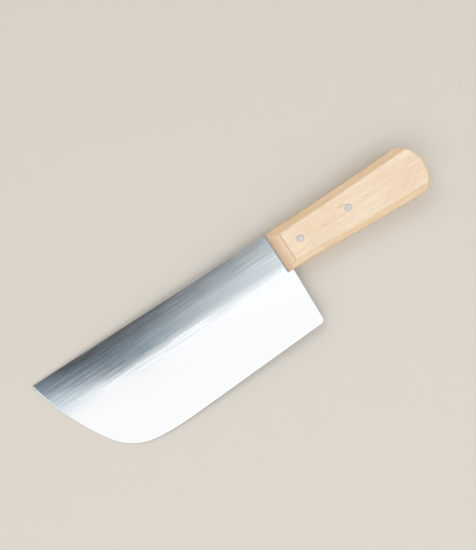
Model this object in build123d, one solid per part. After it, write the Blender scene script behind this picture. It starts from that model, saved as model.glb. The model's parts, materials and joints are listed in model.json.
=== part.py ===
from build123d import *
from math import cos, radians, sin, tan
import os

# A wide cleaver. Its ground steel blade ends in a half tang, which sits in a kerf sawn into a one-piece
# wooden handle and is held there by two flush pins.
# Millimetres. Each piece is drawn with +X towards the butt, +Y towards the spine and the blade's mid plane at
# Z = 0, from an origin on the spine line where the blade enters the handle. All of them are then laid down
# together, as the knife lies on a table.

# Blade outline
blade_length = 200.0
blade_thickness = 2.5
heel_depth = 75.0
heel_setback = 2.3
heel_lean_deg = 1.95
heel_corner_radius = 3.5
straight_edge_length = 115.8
edge_slope_deg = 2.73
fore_edge_radius = 193.0
fore_edge_turn_deg = 8.56
belly_radius = 41.8
belly_turn_deg = 49.7
tip_radius = 1.2
side_edge_break = 0.3

# Blade grinds
upper_flat_width = 12.0
ground_edge_thickness = 0.3
nose_grind_deg = 4.0
edge_land = 0.1
edge_bevel_deg = 15.0

# Half tang
tang_length = 76.0
tang_thickness = 2.2
shoulder_gap = 0.3

# Handle
handle_length = 123.4
handle_thickness = 20.0
handle_front_width = 31.3
spine_side_crown = 11.4
spine_side_flare = 1.88
belly_side_crown = 9.0
belly_side_flare_deg = 2.74
spine_side_chamfer = 5.5
belly_side_chamfer = 4.2
butt_corner_radius = 7.0
butt_edge_break = 1.2
edge_break_deg = 45.0
front_round_length = 8.4
front_round_radius = 15.0
front_land_thickness = 4.0

# Kerf and pins
kerf_side_clearance = 0.1
kerf_end_clearance = 1.0
pin_diameter = 4.0
pin_head_diameter = 5.0
pin_head_depth = 1.2
pin_head_recess = 0.05
pin_clearance = 0.05
pin_inset = 16.25
front_pin_setback = 19.5
rear_pin_setback = 59.9
dimple_diameter = 1.6
dimple_depth = 0.3

# Weight of the pieces in grams per cubic millimetre, and how finely their resting place is worked out
densities = {"blade": 0.00785, "handle": 0.0007, "front_pin": 0.0027, "rear_pin": 0.0027}
table_samples = 60
steepest_lean = 0.2
lean_tolerance = 0.00001

# Cutting edge: a straight from the heel, then three arcs that turn up to the tip on the spine line
slope = radians(edge_slope_deg)
heading = Vector(-cos(slope), -sin(slope))
heel_foot = Vector(heel_setback, -heel_depth)
tip = Vector(-blade_length, 0)
straight_edge = Line(heel_foot, heel_foot + heading * straight_edge_length)
fore_edge = JernArc(straight_edge @ 1, heading, fore_edge_radius, -fore_edge_turn_deg)
belly_edge = JernArc(fore_edge @ 1, fore_edge % 1, belly_radius, -belly_turn_deg)
nose_edge = TangentArc(belly_edge @ 1, tip, tangent=belly_edge % 1)
deepest_edge = heel_depth + straight_edge_length * sin(slope) + fore_edge_radius * (1 - cos(slope))

# Long sides of the handle, each ending short of the butt by its crown, and the butt between them
spine_side_length = handle_length - spine_side_crown
belly_side_length = handle_length - belly_side_crown
belly_side_drop = belly_side_length * tan(radians(belly_side_flare_deg))
belly_side_end = Vector(belly_side_length, -handle_front_width - belly_side_drop)
spine_side = TangentArc((0, 0), (spine_side_length, spine_side_flare), tangent=(1, 0))
belly_side = Line(belly_side_end, (0, -handle_front_width))
butt_top = Vector(handle_length, (spine_side_flare + belly_side_end.Y) / 2)
butt_end = ThreePointArc(spine_side @ 1, butt_top, belly_side_end)
reach = blade_length + handle_length


def inside_of(edges):
    """Face on the spine's side of a run of edges, whose two ends are first run on straight."""
    start = edges[0] @ 0 - (edges[0] % 0) * reach
    end = edges[-1] @ 1 + (edges[-1] % 1) * reach
    closing = Polyline(edges[-1] @ 1, end, (start.X, end.Y), start)
    return make_face([Line(start, edges[0] @ 0), *edges, closing])


def reaching_from(side, far_y):
    """Face from one long side of the handle, run on straight at both ends, across to a far line."""
    start = side @ 0 - (side % 0) * reach
    end = side @ 1 + (side % 1) * reach
    around = Polyline(side @ 1, end, (end.X, far_y), (start.X, far_y), start, side @ 0)
    return make_face([side, around])


def leaning_in(outline, wall, thickness, slope_deg):
    """Plate whose sides stand upright over the middle wall, then lean in at slope_deg from the flat."""
    upright = extrude(outline, wall / 2, both=True)
    leaning = extrude(outline, (thickness - wall) / 2, taper=90 - slope_deg)
    if leaning.center().Z < 0:
        leaning = mirror(leaning, Plane.XY)
    top = Pos(0, 0, wall / 2) * leaning
    return upright + top + mirror(top, Plane.XY)


def through(plane, upper_line, length):
    """Bar whose section on the plane is the space under upper_line and its mirror image below."""
    start = upper_line[0] @ 0
    end = upper_line[-1] @ 1
    base = Polyline(end, (end.X, 0), (start.X, 0), start)
    upper = make_face([*upper_line, base])
    section = upper + mirror(upper, Plane.XZ)
    return extrude(plane * section, length, both=True)


def handle_outline():
    """The handle seen from above."""
    front = Line(belly_side @ 1, spine_side @ 0)
    outline = make_face([spine_side, butt_end, belly_side, front])
    butt_corners = outline.vertices().sort_by(Axis.X)[-2:]
    return fillet(butt_corners, butt_corner_radius)


def blade_outline():
    """The blade seen from the side, with its tang flush with the handle's two long sides."""
    hidden_depth = handle_front_width / 2
    heel_line_run = (heel_depth - hidden_depth) * tan(radians(heel_lean_deg))
    hidden_corner = Vector(heel_setback + heel_line_run, -hidden_depth)
    rear = Polyline(tip, (0, 0), hidden_corner, heel_foot)
    body = make_face([rear, straight_edge, fore_edge, belly_edge, nose_edge])
    body = fillet(body.vertices().sort_by_distance(heel_foot)[0], heel_corner_radius)
    body = fillet(body.vertices().sort_by_distance(tip)[0], tip_radius)
    tang_window = Rectangle(tang_length, reach, align=(Align.MIN, Align.CENTER))
    return body + (handle_outline() & tang_window)


def pin_place(setback):
    """A pin's centre, midway between the handle's faces."""
    return Pos(setback, -pin_inset)


def pin_holes(radius):
    """Both pins' holes, all the way through."""
    hole = Cylinder(radius, handle_thickness)
    return [pin_place(setback) * hole for setback in (front_pin_setback, rear_pin_setback)]


def make_blade():
    """A plate ground on both faces: a long curve down to the edge, a flat grind round the nose, a bevel."""
    half = blade_thickness / 2
    side_wall = blade_thickness - side_edge_break * 2
    plate = leaning_in(blade_outline(), side_wall, blade_thickness, edge_break_deg)
    flat = Line((reach, half), (-upper_flat_width, half))
    curve = TangentArc(flat @ 1, (-deepest_edge, ground_edge_thickness / 2), tangent=(-1, 0))
    below = Line(curve @ 1, (-reach, ground_edge_thickness / 2))
    main_grind = through(Plane.YZ, [flat, curve, below], reach)
    nose = inside_of([belly_edge, nose_edge])
    nose_grind = leaning_in(nose, ground_edge_thickness, blade_thickness, nose_grind_deg)
    edge = inside_of([straight_edge, fore_edge, belly_edge, nose_edge])
    edge_bevel = leaning_in(edge, edge_land, blade_thickness, edge_bevel_deg)
    blade = plate & main_grind & nose_grind & edge_bevel
    covered = offset(handle_outline(), shoulder_gap, kind=Kind.INTERSECTION)
    rebates = extrude(covered, blade_thickness, both=True) - extrude(covered, tang_thickness / 2, both=True)
    blade = blade - rebates
    return blade - pin_holes(pin_diameter / 2 + pin_clearance)


def make_handle():
    """One piece of wood: chamfered long edges, a crowned butt, a rounded-down front and the sawn kerf."""
    half = handle_thickness / 2
    spine_wall = handle_thickness - spine_side_chamfer * 2
    spine_plate = leaning_in(reaching_from(spine_side, -reach), spine_wall, handle_thickness, edge_break_deg)
    belly_wall = handle_thickness - belly_side_chamfer * 2
    belly_plate = leaning_in(reaching_from(belly_side, reach), belly_wall, handle_thickness, edge_break_deg)
    butt_wall = handle_thickness - butt_edge_break * 2
    butt = leaning_in(handle_outline(), butt_wall, handle_thickness, edge_break_deg)
    land = Vector(0, front_land_thickness / 2)
    round_end = Vector(front_round_length, half)
    front_round = RadiusArc(land, round_end, front_round_radius)
    front = through(Plane.XZ, [front_round, Line(round_end, (reach, half))], reach)
    kerf_length = tang_length + kerf_end_clearance
    kerf_thickness = tang_thickness + kerf_side_clearance * 2
    kerf = Box(kerf_length * 2, reach, kerf_thickness)
    head_seat = Cylinder(pin_head_diameter / 2 + pin_clearance, pin_head_depth + pin_head_recess)
    seat_height = half - (pin_head_depth + pin_head_recess) / 2
    seats = [
        pin_place(setback) * Pos(0, 0, side * seat_height) * head_seat
        for setback in (front_pin_setback, rear_pin_setback)
        for side in (-1, 1)
    ]
    handle = (spine_plate & belly_plate & butt & front) - kerf
    return handle - pin_holes(pin_diameter / 2 + pin_clearance) - seats


def make_pin(setback, dimpled):
    """A solid pin with a low head at each end, just below the wood. A dimple shows where a punch hit it."""
    half = handle_thickness / 2 - pin_head_recess
    shank = Cylinder(pin_diameter / 2, half * 2)
    head = Cylinder(pin_head_diameter / 2, pin_head_depth)
    pin = shank + [Pos(0, 0, side * (half - pin_head_depth / 2)) * head for side in (-1, 1)]
    if dimpled:
        punch_radius = ((dimple_diameter / 2) ** 2 + dimple_depth**2) / (dimple_depth * 2)
        punch_height = half - dimple_depth + punch_radius
        pin = pin - [Pos(0, 0, side * punch_height) * Sphere(punch_radius) for side in (-1, 1)]
    return pin_place(setback) * pin


def table_slopes(blade, handle_corner, mass_centre):
    """How a table runs past the drawn knife, rising towards the tip and towards the edge.

    It carries the handle at one corner and the blade at one point of its underside. It may lean either way
    about the line between the two, so its lean is halved in until the knife balances over that line.
    """
    shares = [step / table_samples for step in range(table_samples + 1)]
    spots = [edge @ share - handle_corner for edge in blade.edges() for share in shares]
    spots = [spot for spot in spots if spot.X < -blade_length / 2]
    centre = mass_centre - handle_corner
    least, most = -steepest_lean, steepest_lean
    while most - least > lean_tolerance:
        lean = (least + most) / 2
        touch = min(spots, key=lambda spot: (spot.Z + lean * spot.Y) / -spot.X)
        pitch = (touch.Z + lean * touch.Y) / -touch.X
        height = centre.Z + pitch * centre.X + lean * centre.Y
        foot = centre - Vector(pitch, lean, 1) * height
        if foot.X * touch.Y > foot.Y * touch.X:
            most = lean
        else:
            least = lean
    return pitch, lean


def laid_down(drawn):
    """The drawn pieces as they lie on a table at Z = 0, with their common box centred over the origin."""
    weights = {name: piece.volume * densities[name] for name, piece in drawn.items()}
    moments = [piece.center(CenterOf.MASS) * weights[name] for name, piece in drawn.items()]
    mass_centre = sum(moments, Vector()) / sum(weights.values())
    corner_flare = front_round_length * tan(radians(belly_side_flare_deg))
    corner_depth = handle_front_width + corner_flare - belly_side_chamfer
    handle_corner = Vector(front_round_length, -corner_depth, -handle_thickness / 2)
    pitch, lean = table_slopes(drawn["blade"], handle_corner, mass_centre)
    table = Plane(handle_corner, x_dir=(1, 0, -pitch), z_dir=(pitch, lean, 1))
    lying = Compound([table.to_local_coords(piece) for piece in drawn.values()])
    box = lying.bounding_box()
    shift = Pos(-box.center().X, -box.center().Y, -box.min.Z)
    return {name: shift * piece for name, piece in zip(drawn, lying)}


pieces = {
    "blade": make_blade(),
    "handle": make_handle(),
    "front_pin": make_pin(front_pin_setback, dimpled=False),
    "rear_pin": make_pin(rear_pin_setback, dimpled=True),
}

os.makedirs("parts", exist_ok=True)
for name, piece in laid_down(pieces).items():
    box = piece.bounding_box()
    print(name, len(piece.solids()), round(piece.volume, 1), tuple(box.min), tuple(box.max))
    export_step(piece, f"parts/{name}.step")
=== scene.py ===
"""Looks of a wide kitchen cleaver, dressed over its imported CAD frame.

The knife lies on a pale floor. Its blade, handle and pins are made again here with finer meshes of the same
shapes and sizes as the CAD nodes. Sizes are in millimetres in the knife's own axes, and the finished meshes
are in metres in the row's frame.
"""

import json
import logging
import math
from dataclasses import dataclass
from enum import Enum
from typing import Callable

import bpy
import numpy as np
from mathutils import Matrix, Vector
from mathutils.geometry import delaunay_2d_cdt


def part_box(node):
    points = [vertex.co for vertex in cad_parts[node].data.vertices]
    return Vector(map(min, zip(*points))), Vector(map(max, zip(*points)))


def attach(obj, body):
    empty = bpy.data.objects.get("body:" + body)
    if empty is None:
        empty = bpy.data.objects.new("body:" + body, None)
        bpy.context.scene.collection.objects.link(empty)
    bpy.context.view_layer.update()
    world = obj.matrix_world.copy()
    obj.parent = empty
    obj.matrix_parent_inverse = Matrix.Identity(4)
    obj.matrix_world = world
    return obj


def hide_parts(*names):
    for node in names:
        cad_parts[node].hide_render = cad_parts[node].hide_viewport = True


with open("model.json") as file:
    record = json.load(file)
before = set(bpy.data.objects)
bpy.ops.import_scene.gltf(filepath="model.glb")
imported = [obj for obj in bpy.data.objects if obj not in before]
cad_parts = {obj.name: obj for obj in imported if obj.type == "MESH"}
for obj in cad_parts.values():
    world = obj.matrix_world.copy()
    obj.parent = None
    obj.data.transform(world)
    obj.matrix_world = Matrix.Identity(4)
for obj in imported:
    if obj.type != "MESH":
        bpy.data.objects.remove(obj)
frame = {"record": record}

Triple = tuple[float, float, float]  # a colour, a place, or one number for each axis
Span = tuple[float, float]  # where something starts and ends, or two numbers that go together

LOG = logging.getLogger("cleaver")
MILLIMETRE = 0.001
FULL_TURN = 2 * math.pi
FLAT_AREA = 1e-4  # square millimetres, below which a triangle is only rounding on a straight line
SAME_PLACE = 1e-6  # millimetres between points that are one point given twice
MERGE_REACH = 1e-5  # millimetres within which the paving merges points
BATCH = 400  # points measured at a time
KERF_END_REACH = 1e-3  # millimetres within which a point is on the kerf's end
FAR_AWAY = 1000.0  # millimetres that stand for no grind at all
CHAMFER_LIFT = math.sqrt(0.5)  # from a height above a 45 degree chamfer to the distance from it


# ---- Knife axes ----


@dataclass(frozen=True)
class KnifeAxes:
    """The knife's own axes as it lies: +X to the butt, +Y to the spine, +Z up through the blade.

    The origin is on the spine line at the front of the handle, in the blade's mid plane.
    """

    to_row: Matrix

    @classmethod
    def from_frame(cls, pins: "Pins") -> "KnifeAxes":
        """Finds the axes from the two pins and the flat upper face of the handle.

        Args:
            pins: the pins, whose places along the handle are known.

        Returns:
            The axes, with a matrix from knife metres to row metres.
        """
        middles = [(Vector(low) + Vector(high)) / 2 for low, high in map(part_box, ("front_pin", "rear_pin"))]
        mounts = {mount["name"]: mount for mount in frame["record"]["mounts"]}
        up = Vector(mounts["handle_flat_upper"]["axis"]).normalized()
        along = middles[1] - middles[0]
        along = (along - up * along.dot(up)).normalized()
        across = up.cross(along)
        front = Vector((pins.front_setback, -pins.inset, 0)) * MILLIMETRE
        turn = Matrix((along, across, up)).transposed()
        place = middles[0] - turn @ front
        return cls(Matrix.Translation(place) @ turn.to_4x4())

    @property
    def from_millimetres(self) -> Matrix:
        """The matrix from knife millimetres to row metres."""
        return self.to_row @ Matrix.Scale(MILLIMETRE, 4)

    def laid(self, points: np.ndarray) -> np.ndarray:
        """Takes points from knife millimetres to row metres."""
        whole = np.array(self.to_row)
        return points * MILLIMETRE @ whole[:3, :3].T + whole[:3, 3]

    def turned(self, directions: np.ndarray) -> np.ndarray:
        """Turns directions from the knife's axes to the row's."""
        return directions @ np.array(self.to_row)[:3, :3].T


# ---- Flat outlines, as complex numbers: x along the knife, y towards the spine ----


def unit(way: complex) -> complex:
    """A direction made one long."""
    return way / abs(way)


def straight(start: complex, end: complex, step: float) -> np.ndarray:
    """Points along a straight line.

    Args:
        start: where it starts.
        end: where it ends.
        step: about how far apart the points are.

    Returns:
        The points, both ends among them.
    """
    count = max(2, round(abs(end - start) / step) + 1)
    return np.linspace(start, end, count)


def arc(centre: complex, start: complex, end: complex, step: float) -> np.ndarray:
    """Points along an arc, the shorter way round.

    Args:
        centre: the arc's centre.
        start: where it starts.
        end: where it ends.
        step: about how far apart the points are.

    Returns:
        The points, both ends among them.
    """
    sweep = np.angle((end - centre) / (start - centre))
    count = max(2, round(abs(sweep) * abs(start - centre) / step) + 1)
    return centre + (start - centre) * np.exp(1j * np.linspace(0, sweep, count))


def joined(runs: list[np.ndarray]) -> np.ndarray:
    """Joins runs end to end as one line, without the doubled points between them.

    Args:
        runs: the runs, in order.

    Returns:
        The points of the line.
    """
    line = np.concatenate(runs)
    keep = np.append(True, abs(np.diff(line)) > SAME_PLACE)
    return line[keep]


def batches(points: np.ndarray) -> list[np.ndarray]:
    """Splits points into small groups, so that a sum over each needs little memory.

    Args:
        points: the points.

    Returns:
        The point numbers of each group.
    """
    return np.array_split(np.arange(len(points)), max(1, len(points) // BATCH))


def distance_to(points: np.ndarray, line: np.ndarray) -> np.ndarray:
    """Measures how far points are from a line of short straight pieces.

    Args:
        points: the points.
        line: the line's own points.

    Returns:
        The least distance of each point.
    """
    start, piece = line[:-1], np.diff(line)
    least = np.full(len(points), np.inf)
    for batch in batches(points):
        offset = points[batch, None] - start
        share = np.clip((offset * piece.conj()).real / abs(piece) ** 2, 0, 1)
        least[batch] = abs(offset - share * piece).min(axis=1)
    return least


def is_inside(points: np.ndarray, loop: np.ndarray) -> np.ndarray:
    """Finds which points lie inside a closed loop, by the turns that the loop makes round them.

    Args:
        points: the points.
        loop: the loop's own points, the first not given again.

    Returns:
        True for each point inside.
    """
    ends = np.roll(loop, -1)
    inside = np.zeros(len(points), bool)
    for batch in batches(points):
        to_start, to_end = loop - points[batch, None], ends - points[batch, None]
        turns = np.angle(to_end / to_start).sum(axis=1)
        inside[batch] = abs(turns) > math.pi
    return inside


def paving(lines: list[np.ndarray], dots: np.ndarray, clear: float) -> tuple[np.ndarray, np.ndarray]:
    """Triangles through flat points that keep every given line as edges.

    Args:
        lines: open or closed lines that the triangles may not cross.
        dots: loose points between the lines.
        clear: loose points nearer than this to a line are left out.

    Returns:
        The points as complex numbers, and three point numbers a triangle, anticlockwise.
    """
    for line in lines:
        dots = dots[distance_to(dots, line) > clear]
    points, edges = [], []
    for line in lines:
        first = len(points)
        points += [Vector((value.real, value.imag)) for value in line]
        edges += [(number, number + 1) for number in range(first, len(points) - 1)]
    points += [Vector((value.real, value.imag)) for value in dots]
    found = delaunay_2d_cdt(points, edges, [], 0, MERGE_REACH, False)
    flat = np.array([complex(*point) for point in found[0]])
    faces = np.array(found[2], int)
    a, b, c = flat[faces].T
    area = ((b - a).conj() * (c - a)).imag
    faces = faces[abs(area) > FLAT_AREA]
    area = area[abs(area) > FLAT_AREA]
    faces[area < 0] = faces[area < 0][:, ::-1]
    return flat, faces


def rim_of(faces: np.ndarray) -> np.ndarray:
    """Finds the edges that only one triangle has.

    Args:
        faces: three point numbers a triangle, anticlockwise.

    Returns:
        Two point numbers an edge, each edge running anticlockwise round the whole.
    """
    pairs = np.concatenate([faces[:, [0, 1]], faces[:, [1, 2]], faces[:, [2, 0]]])
    held = {tuple(pair) for pair in pairs.tolist()}
    return np.array([pair for pair in pairs.tolist() if (pair[1], pair[0]) not in held], int)


# ---- Meshes ----


def new_piece(name: str, points: np.ndarray, faces: list, axes: KnifeAxes) -> bpy.types.Object:
    """Makes a mesh object, laid down in the row's frame and shaded smooth.

    Args:
        name: the object's name.
        points: knife millimetres, one row each.
        faces: the point numbers of each polygon.
        axes: the knife's axes.

    Returns:
        The object, linked to the scene.
    """
    mesh = bpy.data.meshes.new(name)
    mesh.from_pydata(axes.laid(points).tolist(), [], faces)
    mesh.validate()
    mesh.polygons.foreach_set("use_smooth", [True] * len(mesh.polygons))
    piece = bpy.data.objects.new(name, mesh)
    bpy.context.scene.collection.objects.link(piece)
    return piece


def give_attribute(mesh: bpy.types.Mesh, name: str, values: np.ndarray) -> None:
    """Stores numbers on a mesh, for a node tree to read.

    Args:
        mesh: the mesh.
        name: what the tree calls them.
        values: one number a point.
    """
    layer = mesh.attributes.new(name, "FLOAT", "POINT")
    layer.data.foreach_set("value", values.astype(np.float32))


def made_plain(piece: bpy.types.Object, modifier: bpy.types.Modifier) -> None:
    """Turns a Geometry Nodes result into the piece's own plain mesh.

    Args:
        piece: the object.
        modifier: its Geometry Nodes modifier, which is taken off.
    """
    bpy.context.view_layer.update()
    evaluated = piece.evaluated_get(bpy.context.evaluated_depsgraph_get())
    result = bpy.data.meshes.new_from_object(evaluated)
    piece.modifiers.remove(modifier)
    old = piece.data
    piece.data = result
    result.name = piece.name
    bpy.data.meshes.remove(old)


# ---- Node trees ----


@dataclass(frozen=True)
class Pattern:
    """Soft noise from 0 to 1, squeezed along each axis and moved by a shift."""

    squeeze: Triple
    shift: float = 0.0
    detail: float = 2.0
    rough: float = 0.5
    warp: float = 0.0


class Wire:
    """A socket, or a plain number, that can be used in sums."""

    def __init__(self, web: "Web", source: object) -> None:
        """Holds a socket of a web, or a number."""
        self.web = web
        self.source = source

    def __add__(self, other: object) -> "Wire":
        """Sum."""
        return self.web.sum("ADD", self, other)

    __radd__ = __add__

    def __sub__(self, other: object) -> "Wire":
        """Difference."""
        return self.web.sum("SUBTRACT", self, other)

    def __rsub__(self, other: object) -> "Wire":
        """Difference from a plain number."""
        return self.web.sum("SUBTRACT", other, self)

    def __mul__(self, other: object) -> "Wire":
        """Product."""
        return self.web.sum("MULTIPLY", self, other)

    __rmul__ = __mul__

    def __truediv__(self, other: object) -> "Wire":
        """Quotient."""
        return self.web.sum("DIVIDE", self, other)

    def __neg__(self) -> "Wire":
        """Sign turned round."""
        return self.web.sum("MULTIPLY", self, -1.0)

    def __pow__(self, other: object) -> "Wire":
        """Power."""
        return self.web.sum("POWER", self, other)

    def __lt__(self, other: object) -> "Wire":
        """One where smaller, else zero."""
        return self.web.sum("LESS_THAN", self, other)

    def __gt__(self, other: object) -> "Wire":
        """One where larger, else zero."""
        return self.web.sum("GREATER_THAN", self, other)


class Web:
    """A shader or geometry node tree that is filled by Python expressions."""

    def __init__(self, tree: bpy.types.NodeTree) -> None:
        """Starts from an empty tree."""
        self.tree = tree
        tree.nodes.clear()

    def node(self, kind: str, settings: dict | None = None, inputs: dict | None = None) -> bpy.types.Node:
        """Adds a node.

        Args:
            kind: the node's type.
            settings: its properties, set first.
            inputs: what its sockets hold, by name or number: wires, sockets or plain values.

        Returns:
            The new node.
        """
        made = self.tree.nodes.new(kind)
        for name, value in (settings or {}).items():
            setattr(made, name, value)
        for name, value in (inputs or {}).items():
            self.feed(made.inputs[name], value)
        return made

    def feed(self, socket: bpy.types.NodeSocket, value: object) -> None:
        """Links a wire or socket to an input, or sets it to a plain value.

        Args:
            socket: the input.
            value: what it holds.
        """
        if isinstance(value, Wire):
            value = value.source
        if isinstance(value, bpy.types.NodeSocket):
            self.tree.links.new(value, socket)
        elif socket.type == "RGBA" and len(value) == 3:
            socket.default_value = (*value, 1.0)
        else:
            socket.default_value = value

    def wire(
        self, kind: str, settings: dict | None = None, inputs: dict | None = None, output: object = 0
    ) -> Wire:
        """Adds a node and returns one of its outputs as a wire."""
        return Wire(self, self.node(kind, settings, inputs).outputs[output])

    def sum(self, operation: str, *values: object) -> Wire:
        """One Math node on up to three values."""
        return self.wire("ShaderNodeMath", {"operation": operation}, dict(enumerate(values)))

    def vector(self, operation: str, *values: object) -> Wire:
        """One Vector Math node."""
        return self.wire("ShaderNodeVectorMath", {"operation": operation}, dict(enumerate(values)))

    def scaled(self, colour: object, amount: object) -> Wire:
        """A colour or a vector times a number."""
        return self.wire("ShaderNodeVectorMath", {"operation": "SCALE"}, {0: colour, "Scale": amount})

    def join(self, x: object, y: object, z: object) -> Wire:
        """A vector from three numbers."""
        return self.wire("ShaderNodeCombineXYZ", None, {0: x, 1: y, 2: z})

    def split(self, vector: Wire) -> tuple[Wire, Wire, Wire]:
        """The three numbers of a vector."""
        made = self.node("ShaderNodeSeparateXYZ", None, {0: vector})
        return tuple(Wire(self, made.outputs[number]) for number in range(3))

    def step(
        self, value: object, low: object, high: object, out_low: float = 0.0, out_high: float = 1.0
    ) -> Wire:
        """Eases from one value to another.

        Args:
            value: what is looked at.
            low: where the easing starts.
            high: where it ends.
            out_low: the result up to the start.
            out_high: the result past the end.

        Returns:
            The result.
        """
        settings = {"interpolation_type": "SMOOTHSTEP"}
        inputs = {"Value": value, "From Min": low, "From Max": high, "To Min": out_low, "To Max": out_high}
        return self.wire("ShaderNodeMapRange", settings, inputs)

    def mix(self, share: object, first: object, second: object, blend: str = "MIX") -> Wire:
        """Mixes two colours by a share from 0 to 1."""
        settings = {"data_type": "RGBA", "blend_type": blend, "clamp_factor": True}
        return self.wire("ShaderNodeMix", settings, {0: share, 6: first, 7: second}, 2)

    def noise(self, pattern: Pattern, place: Wire) -> Wire:
        """Soft noise from 0 to 1.

        Args:
            pattern: what the noise is like.
            place: where it is looked at.

        Returns:
            The noise.
        """
        squeezed = self.vector("MULTIPLY", place, pattern.squeeze)
        moved = self.vector("ADD", squeezed, (pattern.shift,) * 3)
        inputs = {"Vector": moved, "Scale": 1.0, "Detail": pattern.detail}
        inputs |= {"Roughness": pattern.rough, "Distortion": pattern.warp}
        return self.wire("ShaderNodeTexNoise", None, inputs)


class Surface(Web):
    """A material's tree, with the knife's own axes at hand."""

    def __init__(self, name: str, axes: KnifeAxes | None = None) -> None:
        """Makes an empty material.

        Args:
            name: the material's name.
            axes: the knife's axes, where its pattern follows the knife.
        """
        self.material = bpy.data.materials.new(name)
        self.material.use_nodes = True
        super().__init__(self.material.node_tree)
        self.place = self.wire("ShaderNodeTexCoord", None, None, "Object")
        if axes:
            back = axes.to_row.inverted()
            self.place = self.wire(
                "ShaderNodeMapping",
                {"vector_type": "POINT"},
                {"Vector": self.place, "Location": back.to_translation(), "Rotation": back.to_euler()},
            )
            self.place = self.scaled(self.place, 1 / MILLIMETRE)

    def attribute(self, name: str) -> Wire:
        """A number stored on the mesh."""
        return self.wire("ShaderNodeAttribute", {"attribute_name": name}, None, "Fac")

    def bumped(self, height: Wire, depth: float) -> Wire:
        """A normal from a height from 0 to 1 that stands for a depth in metres."""
        return self.wire("ShaderNodeBump", None, {"Strength": 1.0, "Distance": depth, "Height": height})

    def finish(self, constants: dict, varying: dict) -> bpy.types.Material:
        """Adds the shader and the output.

        Args:
            constants: values set on the shader's own sockets.
            varying: wires for what changes over the surface.

        Returns:
            The finished material.
        """
        shader = self.node("ShaderNodeBsdfPrincipled", None, {**constants, **varying})
        self.node("ShaderNodeOutputMaterial", None, {"Surface": shader.outputs[0]})
        return self.material


# ---- Finishes ----


@dataclass(frozen=True)
class BladeSteel:
    """Satin stainless steel, ground and brushed along the spine, with a finer honed bevel."""

    colour: Triple = (0.648, 0.658, 0.667)
    pale: Triple = (0.658, 0.668, 0.678)
    nose_colour: Triple = (0.560, 0.618, 0.665)
    # honed bevel: a real finer finish, and its lighter colour is partly a painted highlight along the edge
    honed_and_glint: Triple = (0.760, 0.780, 0.800)
    # painted shade: dark colour of the shadowed gap where the blade meets the handle
    gap_shade: Triple = (0.130, 0.140, 0.165)
    roughness: float = 0.085
    least_roughness: float = 0.03
    honed_roughness: float = 0.16
    nose_roughness: float = 0.09
    joint_roughness: float = 0.3
    bevel_width: float = 0.50
    long_streaks: Pattern = Pattern((0.012, 0.55, 0.4), 0.0, 2.0, 0.6)
    fine_streaks: Pattern = Pattern((0.030, 1.1, 0.8), 37.0, 1.0, 0.6)
    long_share: float = 0.4
    streak_tones: Span = (0.38, 0.62)
    streak_sheen: float = 0.28
    streak_depth: float = 0.0000024
    smudges: Pattern = Pattern((0.03, 0.07, 0.05), 11.0, 3.0, 0.55, 0.4)
    smudge_sheen: float = 0.05
    marks: Pattern = Pattern((0.024, 0.95, 0.6), 61.0, 2.0, 0.6)
    mark_depths: Span = (0.60, 0.24)
    marks_along: Span = (-150.0, -20.0)
    marks_down: Span = (-27.0, -14.0)
    ripple: Pattern = Pattern((0.035, 0.05, 0.0), 83.0, 1.0)
    ripple_depth: float = 0.00003
    nose_along: Span = (-188.0, -140.0)
    nose_top: Span = (-17.0, -5.0)
    nose_foot: Span = (-38.0, -22.0)
    # painted shade: where the dark shadow line in front of the handle lies, how it wavers and how dark it is
    joint_shade_along: Span = (-1.35, -0.45)
    joint_shade_waver: float = 0.4
    joint_shade_margin: float = 0.2
    joint_shade_share: float = 0.65

    def build(self, axes: KnifeAxes, handle: "Handle") -> bpy.types.Material:
        """Makes the material, with painted shade: a dark line on the steel where the handle begins.

        Args:
            axes: the knife's axes.
            handle: the handle's sizes.

        Returns:
            The material.
        """
        web = Surface("blade_steel", axes)
        x, y, _ = web.split(web.place)
        streaks = web.noise(self.long_streaks, web.place) * self.long_share
        streaks = streaks + web.noise(self.fine_streaks, web.place) * (1.0 - self.long_share)
        smudges = web.noise(self.smudges, web.place) - 0.5
        marks = (web.noise(self.marks, web.place) - 0.5) * web.step(y, *self.marks_down)
        marks = marks * web.step(x, *self.marks_along, *self.mark_depths)
        nose = web.step(x, *self.nose_along, 1.0, 0.0) * web.step(y, *self.nose_top, 1.0, 0.0)
        nose = nose * web.step(y, *self.nose_foot)
        honed_and_glint = web.attribute("edge_distance") < self.bevel_width
        # painted shade: the steel is darkened just in front of the handle, where the gap to the wood is in
        # shadow
        joint_shade = web.step(x + smudges * self.joint_shade_waver, *self.joint_shade_along)
        joint_shade = joint_shade * (y > -handle.front_depth - self.joint_shade_margin)
        colour = web.mix(web.step(streaks, *self.streak_tones), self.colour, self.pale)
        colour = web.scaled(web.mix(nose, colour, self.nose_colour), 1.0 + marks)
        # the honed bevel's lighter colour, partly a painted highlight along the edge
        colour = web.mix(honed_and_glint, colour, self.honed_and_glint)
        # the painted shadow line is mixed in here
        colour = web.mix(joint_shade * self.joint_shade_share, colour, self.gap_shade)
        rough = self.roughness + (streaks - 0.5) * self.streak_sheen + smudges * self.smudge_sheen
        rough = web.sum("MAXIMUM", rough, self.least_roughness) + nose * self.nose_roughness
        rough = rough + honed_and_glint * (self.honed_roughness - self.roughness) + joint_shade * self.joint_roughness
        height = streaks * (self.streak_depth / self.ripple_depth) + web.noise(self.ripple, web.place)
        normal = web.bumped(height, self.ripple_depth)
        return web.finish({"Metallic": 1.0}, {"Base Color": colour, "Roughness": rough, "Normal": normal})


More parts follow.
